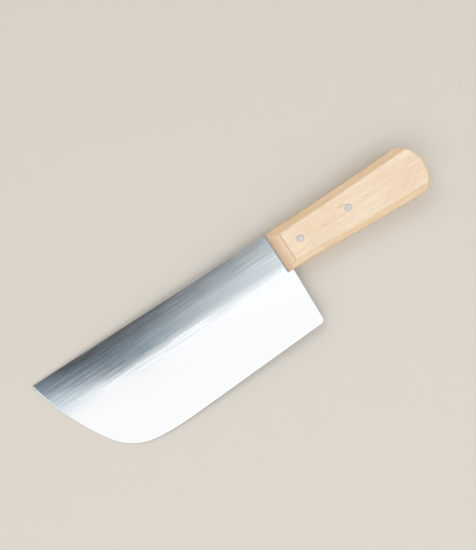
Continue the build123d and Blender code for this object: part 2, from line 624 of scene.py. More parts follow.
@dataclass(frozen=True)
class HandleWood:
    """Pale, fine-grained hardwood, sanded and left bare, with short dark flecks along the grain."""

    colour: Triple = (0.860, 0.690, 0.505)
    light: Triple = (0.930, 0.790, 0.630)
    dark: Triple = (0.720, 0.520, 0.330)
    fleck: Triple = (0.480, 0.290, 0.150)
    # painted shade: faces that look sideways are multiplied darker, the spine side more than the belly side
    belly_side: Triple = (1.000, 0.945, 0.840)
    spine_side: Triple = (1.000, 0.905, 0.765)
    side_shade_turn: Span = (0.25, 0.65)
    roughness: float = 0.58
    shine: float = 0.35
    sway: Pattern = Pattern((0.02, 0.05, 0.05), 5.0, 1.0)
    sway_reach: float = 5.0
    rings: Pattern = Pattern((0.012, 0.30, 0.25), 7.0)
    ring_tones: Span = (0.25, 0.75)
    patches: Pattern = Pattern((0.02, 0.05, 0.05), 71.0)
    patch_tones: Span = (0.45, 0.75)
    patch_share: float = 0.25
    grain: Pattern = Pattern((0.05, 1.5, 1.5), 21.0, 4.0, 0.65)
    grain_tones: Span = (0.48, 0.78)
    grain_share: float = 0.36
    grain_sheen: float = 0.18
    grain_rise: float = 0.6
    grain_depth: float = 0.00004
    pores: Pattern = Pattern((0.22, 2.1, 2.1), 53.0, 1.0, 0.6)
    pore_tones: Span = (0.64, 0.76)
    pore_share: float = 0.55
    pore_sheen: float = 0.08
    threads: Pattern = Pattern((0.10, 0.80, 0.80), 29.0, 2.0, 0.6)
    thread_depth: float = 0.30
    knot: Triple = (0.800, 0.480, 0.260)
    knot_place: Span = (56.0, -12.8)
    knot_reach: Span = (3.2, 1.3)
    knot_waver: float = 1.5
    knot_fade: float = 1.3
    knot_share: float = 0.42
    end_grain: Triple = (0.810, 0.565, 0.400)
    butt_grain: Triple = (0.880, 0.680, 0.440)
    end_turn: Span = (0.12, 0.95)
    end_share: float = 0.85
    end_tint: float = 0.25
    nicks: Pattern = Pattern((0.30, 0.9, 0.9), 17.0, 2.0, 0.6)
    nick_tones: Span = (0.66, 0.72)
    nick_band: Span = (-5.0, -3.2)
    nick_share: float = 0.7
    front_line: Span = (0.08, 0.30)
    front_line_share: float = 0.55
    front_line_reach: float = 1.5
    belly_line: Span = (0.08, 0.34)
    belly_line_share: float = 0.22

    def creases(self, web: Surface, handle: "Handle") -> Wire:
        """Draws thin dark lines along the edges round the front and along the belly chamfer.

        Args:
            web: the wood's tree.
            handle: the handle's sizes.

        Returns:
            How dark the lines are.
        """
        x, y, z = web.split(web.place)
        height = web.sum("ABSOLUTE", z)
        top = height - handle.half_thickness
        hollow = x * x / (2 * handle.spine_radius)
        spine = (top + handle.spine_chamfer + y - hollow) * CHAMFER_LIFT
        belly = (top + handle.belly_chamfer - y - handle.front_depth - x * handle.belly_flare) * CHAMFER_LIFT
        centre = handle.front_centre()
        ahead = web.sum("MINIMUM", x - centre.real, 0.0)
        above = height - centre.imag
        front = web.sum("SQRT", ahead * ahead + above * above) - handle.front_round_radius
        others = web.sum("MAXIMUM", top, web.sum("MAXIMUM", spine, belly))
        front_line = web.step(web.sum("ABSOLUTE", front - others), *self.front_line, 1.0, 0.0)
        front_line = front_line * (x < handle.front_round_length * self.front_line_reach)
        belly_line = web.step(web.sum("ABSOLUTE", belly - top), *self.belly_line, 1.0, 0.0) * (front < top)
        return web.sum("MAXIMUM", front_line * self.front_line_share, belly_line * self.belly_line_share)

    def build(self, axes: KnifeAxes, handle: "Handle") -> bpy.types.Material:
        """Makes the material.

        Args:
            axes: the knife's axes.
            handle: the handle's sizes.

        Returns:
            The material.
        """
        web = Surface("handle_wood", axes)
        x, y, z = web.split(web.place)
        bent = web.join(x, y + (web.noise(self.sway, web.place) - 0.5) * self.sway_reach, z)
        grain = web.noise(self.grain, bent)
        pores = web.step(web.noise(self.pores, bent), *self.pore_tones)
        colour = web.mix(web.step(web.noise(self.rings, bent), *self.ring_tones), self.colour, self.light)
        patches = web.step(web.noise(self.patches, web.place), *self.patch_tones)
        colour = web.mix(patches * self.patch_share, colour, self.dark)
        colour = web.mix(web.step(grain, *self.grain_tones) * self.grain_share, colour, self.dark)
        colour = web.mix(pores * self.pore_share, colour, self.fleck)
        colour = web.scaled(colour, 1.0 + (web.noise(self.threads, bent) - 0.5) * self.thread_depth)
        along = (x - self.knot_place[0]) / self.knot_reach[0]
        across = (y - self.knot_place[1]) / self.knot_reach[1]
        away = along * along + across * across + (grain - 0.5) * self.knot_waver
        knot = web.step(away, 0.0, self.knot_fade, 1.0, 0.0) * (z > 0.0)
        colour = web.mix(knot * self.knot_share, colour, self.knot)
        # painted shade: faces turned towards the spine or the belly are darkened by how far they face
        # sideways
        sides = web.mix(y > -handle.front_depth / 2, self.belly_side, self.spine_side)
        colour = web.mix(web.step(web.attribute("side_facing"), *self.side_shade_turn), colour, sides, "MULTIPLY")
        ends = web.mix(x > handle.length / 2, self.end_grain, self.butt_grain)
        tinted = web.mix(self.end_tint, ends, web.mix(1.0, ends, colour, "MULTIPLY"))
        end = web.step(web.attribute("end_grain"), *self.end_turn)
        colour = web.mix(end * self.end_share, colour, tinted)
        nicks = web.step(web.noise(self.nicks, web.place), *self.nick_tones) * web.step(y, *self.nick_band)
        nicks = nicks * (x > handle.length / 2)
        # darkens the thin edge lines and the nicks
        worn = web.sum("MAXIMUM", self.creases(web, handle), nicks * self.nick_share)
        colour = web.mix(worn, colour, self.fleck)
        rough = self.roughness + (grain - 0.5) * self.grain_sheen + pores * self.pore_sheen
        height = grain * self.grain_rise + (1 - pores) * (1 - self.grain_rise)
        varying = {"Base Color": colour, "Roughness": rough, "Normal": web.bumped(height, self.grain_depth)}
        return web.finish({"Specular IOR Level": self.shine}, varying)


@dataclass(frozen=True)
class PinMetal:
    """Soft white metal, peened, then sanded level with the wood."""

    colour: Triple = (0.62, 0.62, 0.62)
    scratched: Triple = (0.55, 0.55, 0.55)
    # painted shade: dark colour of the shadowed gap round each head
    rim: Triple = (0.20, 0.17, 0.14)
    roughness: float = 0.42
    scratches: Pattern = Pattern((0.5, 7.0, 1.0), 0.0, 3.0, 0.6)
    scratch_tones: Span = (0.35, 0.7)
    scratch_share: float = 0.25
    scratch_sheen: float = 0.2
    scratch_depth: float = 0.000004
    cloud: Pattern = Pattern((0.9, 0.9, 0.9), 9.0)
    cloud_waver: float = 0.3
    # painted shade: where the shadowed ring at the head's edge lies, how dark and how rough it is
    gap_shade_band: Span = (0.32, 0.02)
    gap_shade_share: float = 0.85
    gap_shade_sheen: float = 0.2

    def build(self, axes: KnifeAxes, pins: "Pins") -> bpy.types.Material:
        """Makes the material, with painted shade: a dark ring where head and wood meet.

        Args:
            axes: the knife's axes.
            pins: the pins' sizes.

        Returns:
            The material.
        """
        web = Surface("pin_metal", axes)
        x, y, _ = web.split(web.place)
        along = [web.sum("ABSOLUTE", x - setback) for setback in (pins.front_setback, pins.rear_setback)]
        reach, inset = web.sum("MINIMUM", *along), y + pins.inset
        radius = web.sum("SQRT", reach * reach + inset * inset)
        scratches = web.noise(self.scratches, web.place)
        clouded = radius + (web.noise(self.cloud, web.place) - 0.5) * self.cloud_waver
        # painted shade: a dark ring just inside the head's edge, where the gap to the wood is in shadow
        gap_shade = web.step(clouded, *(pins.head_radius - inner for inner in self.gap_shade_band))
        scratched = web.step(scratches, *self.scratch_tones) * self.scratch_share
        colour = web.mix(scratched, self.colour, self.scratched)
        colour = web.mix(gap_shade * self.gap_shade_share, colour, self.rim)
        rough = self.roughness + (scratches - 0.5) * self.scratch_sheen + gap_shade * self.gap_shade_sheen
        normal = web.bumped(scratches, self.scratch_depth)
        return web.finish({"Metallic": 1.0}, {"Base Color": colour, "Roughness": rough, "Normal": normal})


@dataclass(frozen=True)
class FloorPaint:
    """Plain pale matt paint for the floor."""

    colour: Triple = (0.71, 0.68, 0.63)
    dark: Triple = (0.62, 0.59, 0.545)
    roughness: float = 0.85
    shine: float = 0.2
    mottle: Pattern = Pattern((60.0, 60.0, 60.0), 0.0, 3.0)
    mottle_share: float = 0.12
    mottle_sheen: float = 0.05

    def build(self) -> bpy.types.Material:
        """Makes the material.

        Returns:
            The material.
        """
        web = Surface("floor_paint")
        mottle = web.noise(self.mottle, web.place)
        colour = web.mix(mottle * self.mottle_share, self.colour, self.dark)
        varying = {"Base Color": colour, "Roughness": self.roughness + mottle * self.mottle_sheen}
        return web.finish({"Specular IOR Level": self.shine}, varying)


# ---- Blade ----


@dataclass(frozen=True)
class Blade:
    """One steel plate: the ground blade, and the half tang that goes into the handle."""

    length: float = 200.0
    half_thickness: float = 1.25
    heel_depth: float = 75.0
    heel_setback: float = 2.3
    heel_lean: float = math.radians(1.95)
    heel_corner_radius: float = 3.5
    straight_edge: float = 115.8
    edge_slope: float = math.radians(2.73)
    fore_edge_radius: float = 193.0
    fore_edge_turn: float = math.radians(8.56)
    belly_radius: float = 41.8
    belly_turn: float = math.radians(49.7)
    tip_radius: float = 1.2
    edge_break: float = 0.3
    upper_flat: float = 12.0
    ground_half_thickness: float = 0.15
    nose_reach: float = 25.0
    nose_fall: float = 0.30
    taper_start: float = 130.0
    taper_fall: float = 0.45
    narrow_start: float = 0.05
    narrowing: float = 1.0
    tip_hollow: float = 1.2
    land_half_thickness: float = 0.05
    bevel_slope: float = math.tan(math.radians(15.0))
    nose_bevel_slope: float = math.tan(math.radians(26.0))
    tang_length: float = 76.0
    tang_half_thickness: float = 1.1
    shoulder_gap: float = 0.3
    tang_overlap: float = 1.0
    step: float = 0.8
    heel_step: float = 0.4
    fine_step: float = 0.2
    tip_step: float = 0.1
    grid: float = 2.0
    crease_reach: float = 1.8
    crease_rounds: int = 24
    crease_clear: float = 0.1
    bevel_reach: float = 6.25

    def edge_runs(self) -> list[np.ndarray]:
        """Draws the cutting edge from the heel to the tip: a straight, then three arcs.

        Returns:
            The straight and the arcs, in order.
        """
        heading = -np.exp(1j * self.edge_slope)
        start = complex(self.heel_setback, -self.heel_depth)
        place = start + heading * self.straight_edge
        runs = [straight(start, place, self.step)]
        turns = (self.fore_edge_radius, self.fore_edge_turn), (self.belly_radius, self.belly_turn)
        for radius, turn in turns:
            centre = place - 1j * heading * radius
            heading *= np.exp(-1j * turn)
            end = centre + 1j * heading * radius
            runs.append(arc(centre, place, end, self.step))
            place = end
        tip = complex(-self.length, 0)
        chord = tip - place
        radius = abs(chord) ** 2 / (2 * (chord * (-1j * heading).conjugate()).real)
        runs.append(arc(place - 1j * heading * radius, place, tip, self.step))
        return runs

    def deepest(self) -> float:
        """How far below the spine the edge reaches."""
        past_straight = self.fore_edge_radius * (1 - math.cos(self.edge_slope))
        return self.heel_depth + self.straight_edge * math.sin(self.edge_slope) + past_straight

    def rounded_tip(self, nose: np.ndarray) -> tuple[np.ndarray, np.ndarray]:
        """Cuts the nose edge short at the tip's small round.

        Args:
            nose: the nose edge, up to the sharp tip.

        Returns:
            The nose edge that is left, and the round from there to the spine.
        """
        first, middle, last = nose[0], nose[len(nose) // 2], nose[-1]
        centre = circle_through(first, middle, last)
        reach = abs(first - centre) - self.tip_radius
        drop = -self.tip_radius - centre.imag
        round_centre = complex(centre.real - math.sqrt(reach**2 - drop**2), -self.tip_radius)
        touch = round_centre + unit(round_centre - centre) * self.tip_radius
        kept = arc(centre, first, touch, self.step)
        return kept, arc(round_centre, touch, complex(round_centre.real, 0), self.tip_step)

    def rounded_heel(self, edge: np.ndarray, corner: complex) -> tuple[np.ndarray, np.ndarray, complex]:
        """Rounds the heel between the heel line and the straight edge.

        Args:
            edge: the straight edge, from the heel.
            corner: a point high on the heel line.

        Returns:
            The round, from the heel line to the edge; the straight edge after it; and its start.
        """
        foot = edge[0]
        up, along = unit(corner - foot), unit(edge[-1] - foot)
        half = abs(np.angle(along / up)) / 2
        cut = self.heel_corner_radius / math.tan(half)
        centre = foot + unit(up + along) * self.heel_corner_radius / math.sin(half)
        heel_round = arc(centre, foot + up * cut, foot + along * cut, self.heel_step)
        return heel_round, straight(foot + along * cut, edge[-1], self.step), foot + up * cut

    def sheet(self, handle: "Handle") -> tuple[np.ndarray, np.ndarray, dict[str, np.ndarray]]:
        """Paves the blade in front of the handle.

        Args:
            handle: the handle's sizes.

        Returns:
            The points, the triangles, and for each point the distances that the grinds follow.
        """
        runs = self.edge_runs()
        lean = complex(math.tan(self.heel_lean), 1)
        drop = self.heel_depth - handle.front_depth - self.shoulder_gap
        heel_top = runs[0][0] + drop * lean
        heel_round, edge, heel_foot = self.rounded_heel(runs[0], heel_top)
        nose, tip_round = self.rounded_tip(runs[-1])
        shoulder = complex(-self.shoulder_gap, 0)
        inner = complex(-self.shoulder_gap, heel_top.imag)
        rear = [straight(inner, heel_top, self.step), straight(heel_top, heel_foot, self.step), heel_round]
        back = [straight(tip_round[-1], shoulder, self.step), straight(shoulder, inner, self.step)]
        loop = joined([*back, *rear, edge, runs[1], runs[2], nose, tip_round])[:-1]
        fine_edge, fine_nose = self.fine_lines()
        rim = joined([heel_round[::-1], straight(heel_foot, heel_top + lean, self.step)])
        spine = joined([tip_round, straight(tip_round[-1], complex(self.step, 0), self.step)])
        crease = self.bevel_crease(runs, fine_nose)
        crease = crease[(distance_to(crease, loop) > self.crease_clear) & is_inside(crease, loop)]
        lower = -1j * self.edge_break
        break_line = straight(tip_round[-1].real + lower, shoulder - self.crease_clear / 2 + lower, self.step)
        x = np.arange(-self.length, heel_top.real, self.grid)
        y = np.arange(-self.deepest(), 0, self.grid)
        dots = (x[:, None] + 1j * y[None, :]).ravel()
        closed = np.append(loop, loop[0])
        dots = dots[is_inside(dots, loop)]
        flat, faces = paving([closed, crease, break_line], dots, self.step / 2)
        middles = flat[faces].mean(axis=1)
        faces = faces[is_inside(middles, loop)]
        distances = {
            "edge_distance": distance_to(flat, fine_edge),
            "nose_distance": distance_to(flat, fine_nose),
            "rim_distance": np.minimum(distance_to(flat, rim), distance_to(flat, spine)),
            "depth": -flat.imag,
        }
        return flat, faces, distances

    def fine_lines(self) -> tuple[np.ndarray, np.ndarray]:
        """Draws the edge in fine steps, run on past its ends.

        Returns:
            The whole edge, and the part of it round the nose.
        """
        runs = self.extended(self.edge_runs())
        return joined(runs), joined(runs[-3:])

    def extended(self, runs: list[np.ndarray]) -> list[np.ndarray]:
        """Draws the edge in fine steps, run on straight past both of its ends.

        Args:
            runs: the edge's straight and arcs.

        Returns:
            The finer runs.
        """
        before = runs[0][0] + (runs[0][0] - runs[0][-1])
        after = runs[-1][-1] + unit(runs[-1][-1] - runs[-1][-2]) * self.belly_radius
        finer = [straight(before, runs[0][-1], self.fine_step)]
        for run in runs[1:]:
            centre = circle_through(run[0], run[len(run) // 2], run[-1])
            finer.append(arc(centre, run[0], run[-1], self.fine_step))
        return [*finer, straight(runs[-1][-1], after, self.fine_step)]

    def bevel_crease(self, runs: list[np.ndarray], nose: np.ndarray) -> np.ndarray:
        """Finds where the fine bevel meets the grinds, by halving the reach inwards from the edge.

        Args:
            runs: the edge's straight and arcs.
            nose: the edge round the nose, in fine steps.

        Returns:
            The points of the crease.
        """
        line = joined(runs)
        inward = -1j * unit(np.gradient(line))
        near, far = np.zeros(len(line)), np.full(len(line), self.crease_reach)
        for _ in range(self.crease_rounds):
            trial = (near + far) / 2
            place = line + inward * trial
            thinner = self.bevel(place, trial) < self.ground(place, distance_to(place, nose))
            near, far = np.where(thinner, trial, near), np.where(thinner, far, trial)
        return line + inward * near

    def taper_at(self, flat: np.ndarray) -> np.ndarray:
        """How far along the taper points are: zero before it, one at the tip."""
        return np.maximum(-flat.real - self.taper_start, 0) / (self.length - self.taper_start)

    def nose_loss(self, nose_distance: np.ndarray) -> np.ndarray:
        """Half thickness that the nose grind takes off at distances from the nose edge."""
        return self.nose_fall * np.maximum(1 - nose_distance / self.nose_reach, 0) ** 2

    def ground(self, flat: np.ndarray, nose_distance: np.ndarray) -> np.ndarray:
        """Works out what the main grind, the taper to the tip and the nose grind leave.

        Args:
            flat: the places.
            nose_distance: how far each is from the nose edge.

        Returns:
            Half the thickness at each place.
        """
        taper = self.taper_at(flat)
        share = np.clip((taper - self.narrow_start) / (1 - self.narrow_start), 0, 1)
        past = np.maximum(-flat.imag - self.upper_flat * (1 - self.narrowing * share**2 * (3 - 2 * share)), 0)
        main = self.half_thickness - past**2 / (2 * self.grind_radius()) * (1 + self.tip_hollow * taper)
        tapered = main - self.taper_fall * taper**2 * main / self.half_thickness
        thinned = tapered - self.nose_loss(nose_distance)
        return smooth_max(thinned, np.full(len(flat), self.ground_half_thickness), self.edge_break)

    def broken(self, flat: np.ndarray, nose_distance: np.ndarray, rim_distance: np.ndarray) -> np.ndarray:
        """Works out what the broken rim leaves, all along the thinning plate.

        Args:
            flat: the places.
            nose_distance: how far each is from the nose edge.
            rim_distance: how far each is from the spine and the heel line.

        Returns:
            Half the thickness at each place.
        """
        tapered = self.half_thickness - self.taper_fall * self.taper_at(flat) ** 2
        return tapered - self.nose_loss(nose_distance) - self.edge_break + rim_distance

    def bevel(self, flat: np.ndarray, edge_distance: np.ndarray) -> np.ndarray:
        """Works out what the bevel leaves, which is steeper round the nose.

        Args:
            flat: the places.
            edge_distance: how far each is from the edge.

        Returns:
            Half the thickness at each place.
        """
        steeper = (self.nose_bevel_slope - self.bevel_slope) * np.minimum(self.taper_at(flat), 1)
        return self.land_half_thickness + (self.bevel_slope + steeper) * edge_distance

    def facing(self, flat: np.ndarray, line: np.ndarray, height: Callable, reach: float) -> np.ndarray:
        """Finds the directions that the upper face looks in.

        Args:
            flat: the places.
            line: what the height is measured from.
            height: half thickness at given places and distances from the line.
            reach: distances beyond this change nothing.

        Returns:
            Unit vectors, one row each.
        """
        near = distance_to(flat, line[::4]) < reach + 2 * self.step  # every fourth point is close enough here

        def at(places: np.ndarray) -> np.ndarray:
            """Works out the half thickness at moved places.

            Args:
                places: the places.

            Returns:
                Half the thickness at each.
            """
            away = np.full(len(places), 2 * reach)
            away[near] = distance_to(places[near], line)
            return height(places, away)

        step = self.edge_break / 2
        columns = [(at(flat - way) - at(flat + way)) / (2 * step) for way in (step, step * 1j)]
        found = np.column_stack([*columns, np.ones(len(flat))])
        return found / np.linalg.norm(found, axis=1)[:, None]

    def true_normals(
        self, mesh: bpy.types.Mesh, flat: np.ndarray, faces: np.ndarray, distances: dict[str, np.ndarray]
    ) -> np.ndarray:
        """Finds the exact normal at every corner of the grinds; walls and rims keep their flat ones.

        Args:
            mesh: the ground mesh, in knife millimetres.
            flat: the paved points of the blade in front of the handle.
            faces: its triangles, which come first in the mesh, from above and then from below.
            distances: what the grinds follow.

        Returns:
            One unit vector a corner.
        """
        edge, nose = self.fine_lines()
        heights = [
            self.ground(flat, distances["nose_distance"]),
            self.bevel(flat, distances["edge_distance"]),
            self.broken(flat, distances["nose_distance"], distances["rim_distance"]),
        ]
        kind = np.argmin([height[faces].mean(axis=1) for height in heights], axis=0)
        facings = [
            self.facing(flat, nose, self.ground, self.nose_reach)[faces],
            self.facing(flat, edge, self.bevel, self.bevel_reach)[faces],
        ]
        upper = np.where((kind == 0)[:, None, None], facings[0], facings[1])
        lower = upper[:, ::-1] * (1, 1, -1)
        own = np.zeros(len(mesh.polygons) * 3)
        mesh.polygons.foreach_get("normal", own)
        counts = np.zeros(len(mesh.polygons), int)
        mesh.polygons.foreach_get("loop_total", counts)
        chosen = np.repeat(own.reshape(-1, 3), counts, axis=0)
        smooth = np.concatenate([upper.reshape(-1, 3), lower.reshape(-1, 3)])
        keep = np.repeat(np.tile(kind < 2, 2), 3)
        chosen[: len(smooth)][keep] = smooth[keep]
        return chosen

    def grind_radius(self) -> float:
        """The radius of the long convex curve from the upper flat down to the edge."""
        fall = self.half_thickness - self.ground_half_thickness
        return ((self.deepest() - self.upper_flat) ** 2 + fall**2) / (2 * fall)

    def tang_sheet(self, handle: "Handle") -> tuple[np.ndarray, np.ndarray]:
        """Paves the tang, flush with both long sides of the handle.

        Args:
            handle: the handle's sizes.

        Returns:
            The points and the triangles.
        """
        start = -self.tang_overlap
        x = np.linspace(0, self.tang_length, round(self.tang_length / self.grid) + 1)
        upper = x + 1j * handle.spine_side(x)
        lower = x + 1j * handle.belly_side(x)
        ends = [complex(start, 0), complex(start, -handle.front_depth)]
        loop = joined([upper[::-1], np.array(ends), lower, straight(lower[-1], upper[-1], self.grid)])
        holes = [place + handle.pins.hole_radius * unit_circle() for place in handle.pins.places()]
        flat, faces = paving([loop, *holes], np.array([], complex), self.step)
        middles = flat[faces].mean(axis=1)
        keep = is_inside(middles, loop)
        for hole in holes:
            keep &= ~is_inside(middles, hole[:-1])
        return flat, faces[keep]

    def build(self, axes: KnifeAxes, handle: "Handle", steel: bpy.types.Material) -> bpy.types.Object:
        """Makes the blade as an even plate and grinds it with a Geometry Nodes tree.

        Args:
            axes: the knife's axes.
            handle: the handle that the tang fits.
            steel: the blade's material.

        Returns:
            The finished piece.
        """
        flat, faces, distances = self.sheet(handle)
        tang_flat, tang_faces = self.tang_sheet(handle)
        points, polygons = slab(flat, faces)
        tang_points, tang_polygons = slab(tang_flat, tang_faces)
        first = len(points)
        polygons += [[number + first for number in polygon] for polygon in tang_polygons]
        level = KnifeAxes(Matrix.Identity(4))
        whole = np.concatenate([points, tang_points]) / MILLIMETRE
        piece = new_piece("cleaver_blade", whole, polygons, level)
        tang = np.full(len(tang_points), FAR_AWAY)
        for name, values in distances.items():
            give_attribute(piece.data, name, np.concatenate([values, values, tang]))
        in_tang = np.repeat([0.0, 1.0], [len(points), len(tang_points)])
        give_attribute(piece.data, "in_tang", in_tang)
        made_plain(piece, grinding(self, steel).put_on(piece))
        normals = self.true_normals(piece.data, flat, faces, distances)
        piece.data.transform(axes.from_millimetres)
        piece.data.normals_split_custom_set(axes.turned(normals).tolist())
        piece.data.update()
        return piece


def circle_through(a: complex, b: complex, c: complex) -> complex:
    """Finds the centre of the circle through three points."""
    w = (c - a) / (b - a)
    return a + (b - a) * (w - abs(w) ** 2) / (2j * w.imag)


def unit_circle(count: int = 48) -> np.ndarray:
    """Points once round a circle of radius one, the first given again at the end."""
    return np.exp(1j * np.linspace(0, FULL_TURN, count + 1))


def slab(flat: np.ndarray, faces: np.ndarray) -> tuple[np.ndarray, list]:
    """Makes a closed plate from flat triangles, reaching one unit above and below.

    Args:
        flat: the points as complex numbers.
        faces: the triangles, anticlockwise from above.

    Returns:
        The points in space, upper ones first, and the polygons.
    """
    count = len(flat)
    upper = np.column_stack([flat.real, flat.imag, np.ones(count)])
    lower = upper * (1, 1, -1)
    rim = rim_of(faces)
    walls = np.column_stack([rim[:, 1], rim[:, 0], rim[:, 0] + count, rim[:, 1] + count])
    polygons = [*faces.tolist(), *(faces[:, ::-1] + count).tolist(), *walls.tolist()]
    return np.concatenate([upper, lower]), polygons


class Recipe:
    """A Geometry Nodes tree with named inputs, ready to put on a piece."""

    def __init__(self, name: str, sizes: dict[str, float], material: bpy.types.Material) -> None:
        """Starts a tree.

        Args:
            name: the tree's name.
            sizes: its named inputs and what they are set to.
            material: what the finished mesh is dressed in.
        """
        self.tree = bpy.data.node_groups.new(name, "GeometryNodeTree")
        self.web = Web(self.tree)
        face = self.tree.interface
        face.new_socket("Mesh", in_out="INPUT", socket_type="NodeSocketGeometry")
        face.new_socket("Mesh", in_out="OUTPUT", socket_type="NodeSocketGeometry")
        self.values = {}
        for label, value in sizes.items():
            socket = face.new_socket(label, in_out="INPUT", socket_type="NodeSocketFloat")
            self.values[socket.identifier] = value
        socket = face.new_socket("Material", in_out="INPUT", socket_type="NodeSocketMaterial")
        self.values[socket.identifier] = material
        self.entry = self.web.node("NodeGroupInput")

    def size(self, label: str) -> Wire:
        """One of the named inputs."""
        return Wire(self.web, self.entry.outputs[label])

    def close(self, mesh: Wire) -> None:
        """Ends the tree in Realize Instances and Set Material.

        Args:
            mesh: the finished shape.
        """
        real = self.web.wire("GeometryNodeRealizeInstances", None, {0: mesh})
        inputs = {"Geometry": real, "Material": self.size("Material")}
        self.web.node("NodeGroupOutput", None, {0: self.web.wire("GeometryNodeSetMaterial", None, inputs)})

    def put_on(self, piece: bpy.types.Object) -> bpy.types.Modifier:
        """Puts the tree on a piece, with every input set by its identifier.

        Args:
            piece: the object.

        Returns:
            Its new modifier.
        """
        modifier = piece.modifiers.new(self.tree.name, "NODES")
        modifier.node_group = self.tree
        for identifier, value in self.values.items():
            modifier[identifier] = value
        return modifier


def grinding(blade: Blade, steel: bpy.types.Material) -> Recipe:
    """Makes the tree that grinds an even plate: the long curve, taper, nose, bevel and broken rim.

    Args:
        blade: the blade's sizes.
        steel: the blade's material.

    Returns:
        The tree.
    """
    sizes = {
        "Half Thickness": blade.half_thickness,
        "Upper Flat": blade.upper_flat,
        "Grind Radius": blade.grind_radius(),
        "Ground Half Thickness": blade.ground_half_thickness,
        "Length": blade.length,
        "Nose Reach": blade.nose_reach,
        "Nose Fall": blade.nose_fall,
        "Taper Start": blade.taper_start,
        "Taper Fall": blade.taper_fall,
        "Narrow Start": blade.narrow_start,
        "Narrowing": blade.narrowing,
        "Tip Hollow": blade.tip_hollow,
        "Land Half Thickness": blade.land_half_thickness,
        "Bevel Slope": blade.bevel_slope,
        "Nose Bevel Slope": blade.nose_bevel_slope,
        "Edge Break": blade.edge_break,
        "Tang Half Thickness": blade.tang_half_thickness,
    }
    recipe = Recipe("grinding", sizes, steel)
    web, size = recipe.web, recipe.size

    def stored(name: str) -> Wire:
        """A distance kept on the plate."""
        return web.wire("GeometryNodeInputNamedAttribute", {"data_type": "FLOAT"}, {"Name": name})

    half, start, slope = size("Half Thickness"), size("Taper Start"), size("Bevel Slope")
    x, y, z = web.split(web.wire("GeometryNodeInputPosition"))
    taper = web.sum("MAXIMUM", (-x - start) / (size("Length") - start), 0.0)
    nose = web.sum("MAXIMUM", 1.0 - stored("nose_distance") / size("Nose Reach"), 0.0)
    tapered, nosed = size("Taper Fall") * taper * taper, size("Nose Fall") * nose * nose
    narrowed = 1.0 - size("Narrowing") * web.step(taper, size("Narrow Start"), 1.0)
    past = web.sum("MAXIMUM", stored("depth") - size("Upper Flat") * narrowed, 0.0)
    main = half - past * past / (2.0 * size("Grind Radius")) * (1.0 + size("Tip Hollow") * taper)
    thinned = main - tapered * main / half - nosed
    ground = web.sum("SMOOTH_MAX", thinned, size("Ground Half Thickness"), size("Edge Break"))
    steeper = (size("Nose Bevel Slope") - slope) * web.sum("MINIMUM", taper, 1.0)
    bevel = size("Land Half Thickness") + (slope + steeper) * stored("edge_distance")
    broken = half - tapered - nosed - size("Edge Break") + stored("rim_distance")
    shaped = web.sum("MINIMUM", web.sum("MINIMUM", ground, bevel), broken)
    in_tang = stored("in_tang")
    height = shaped * (1.0 - in_tang) + size("Tang Half Thickness") * in_tang
    inputs = {"Geometry": size("Mesh"), "Position": web.join(x, y, z * height)}
    recipe.close(web.wire("GeometryNodeSetPosition", None, inputs))
    return recipe


# ---- Pins ----


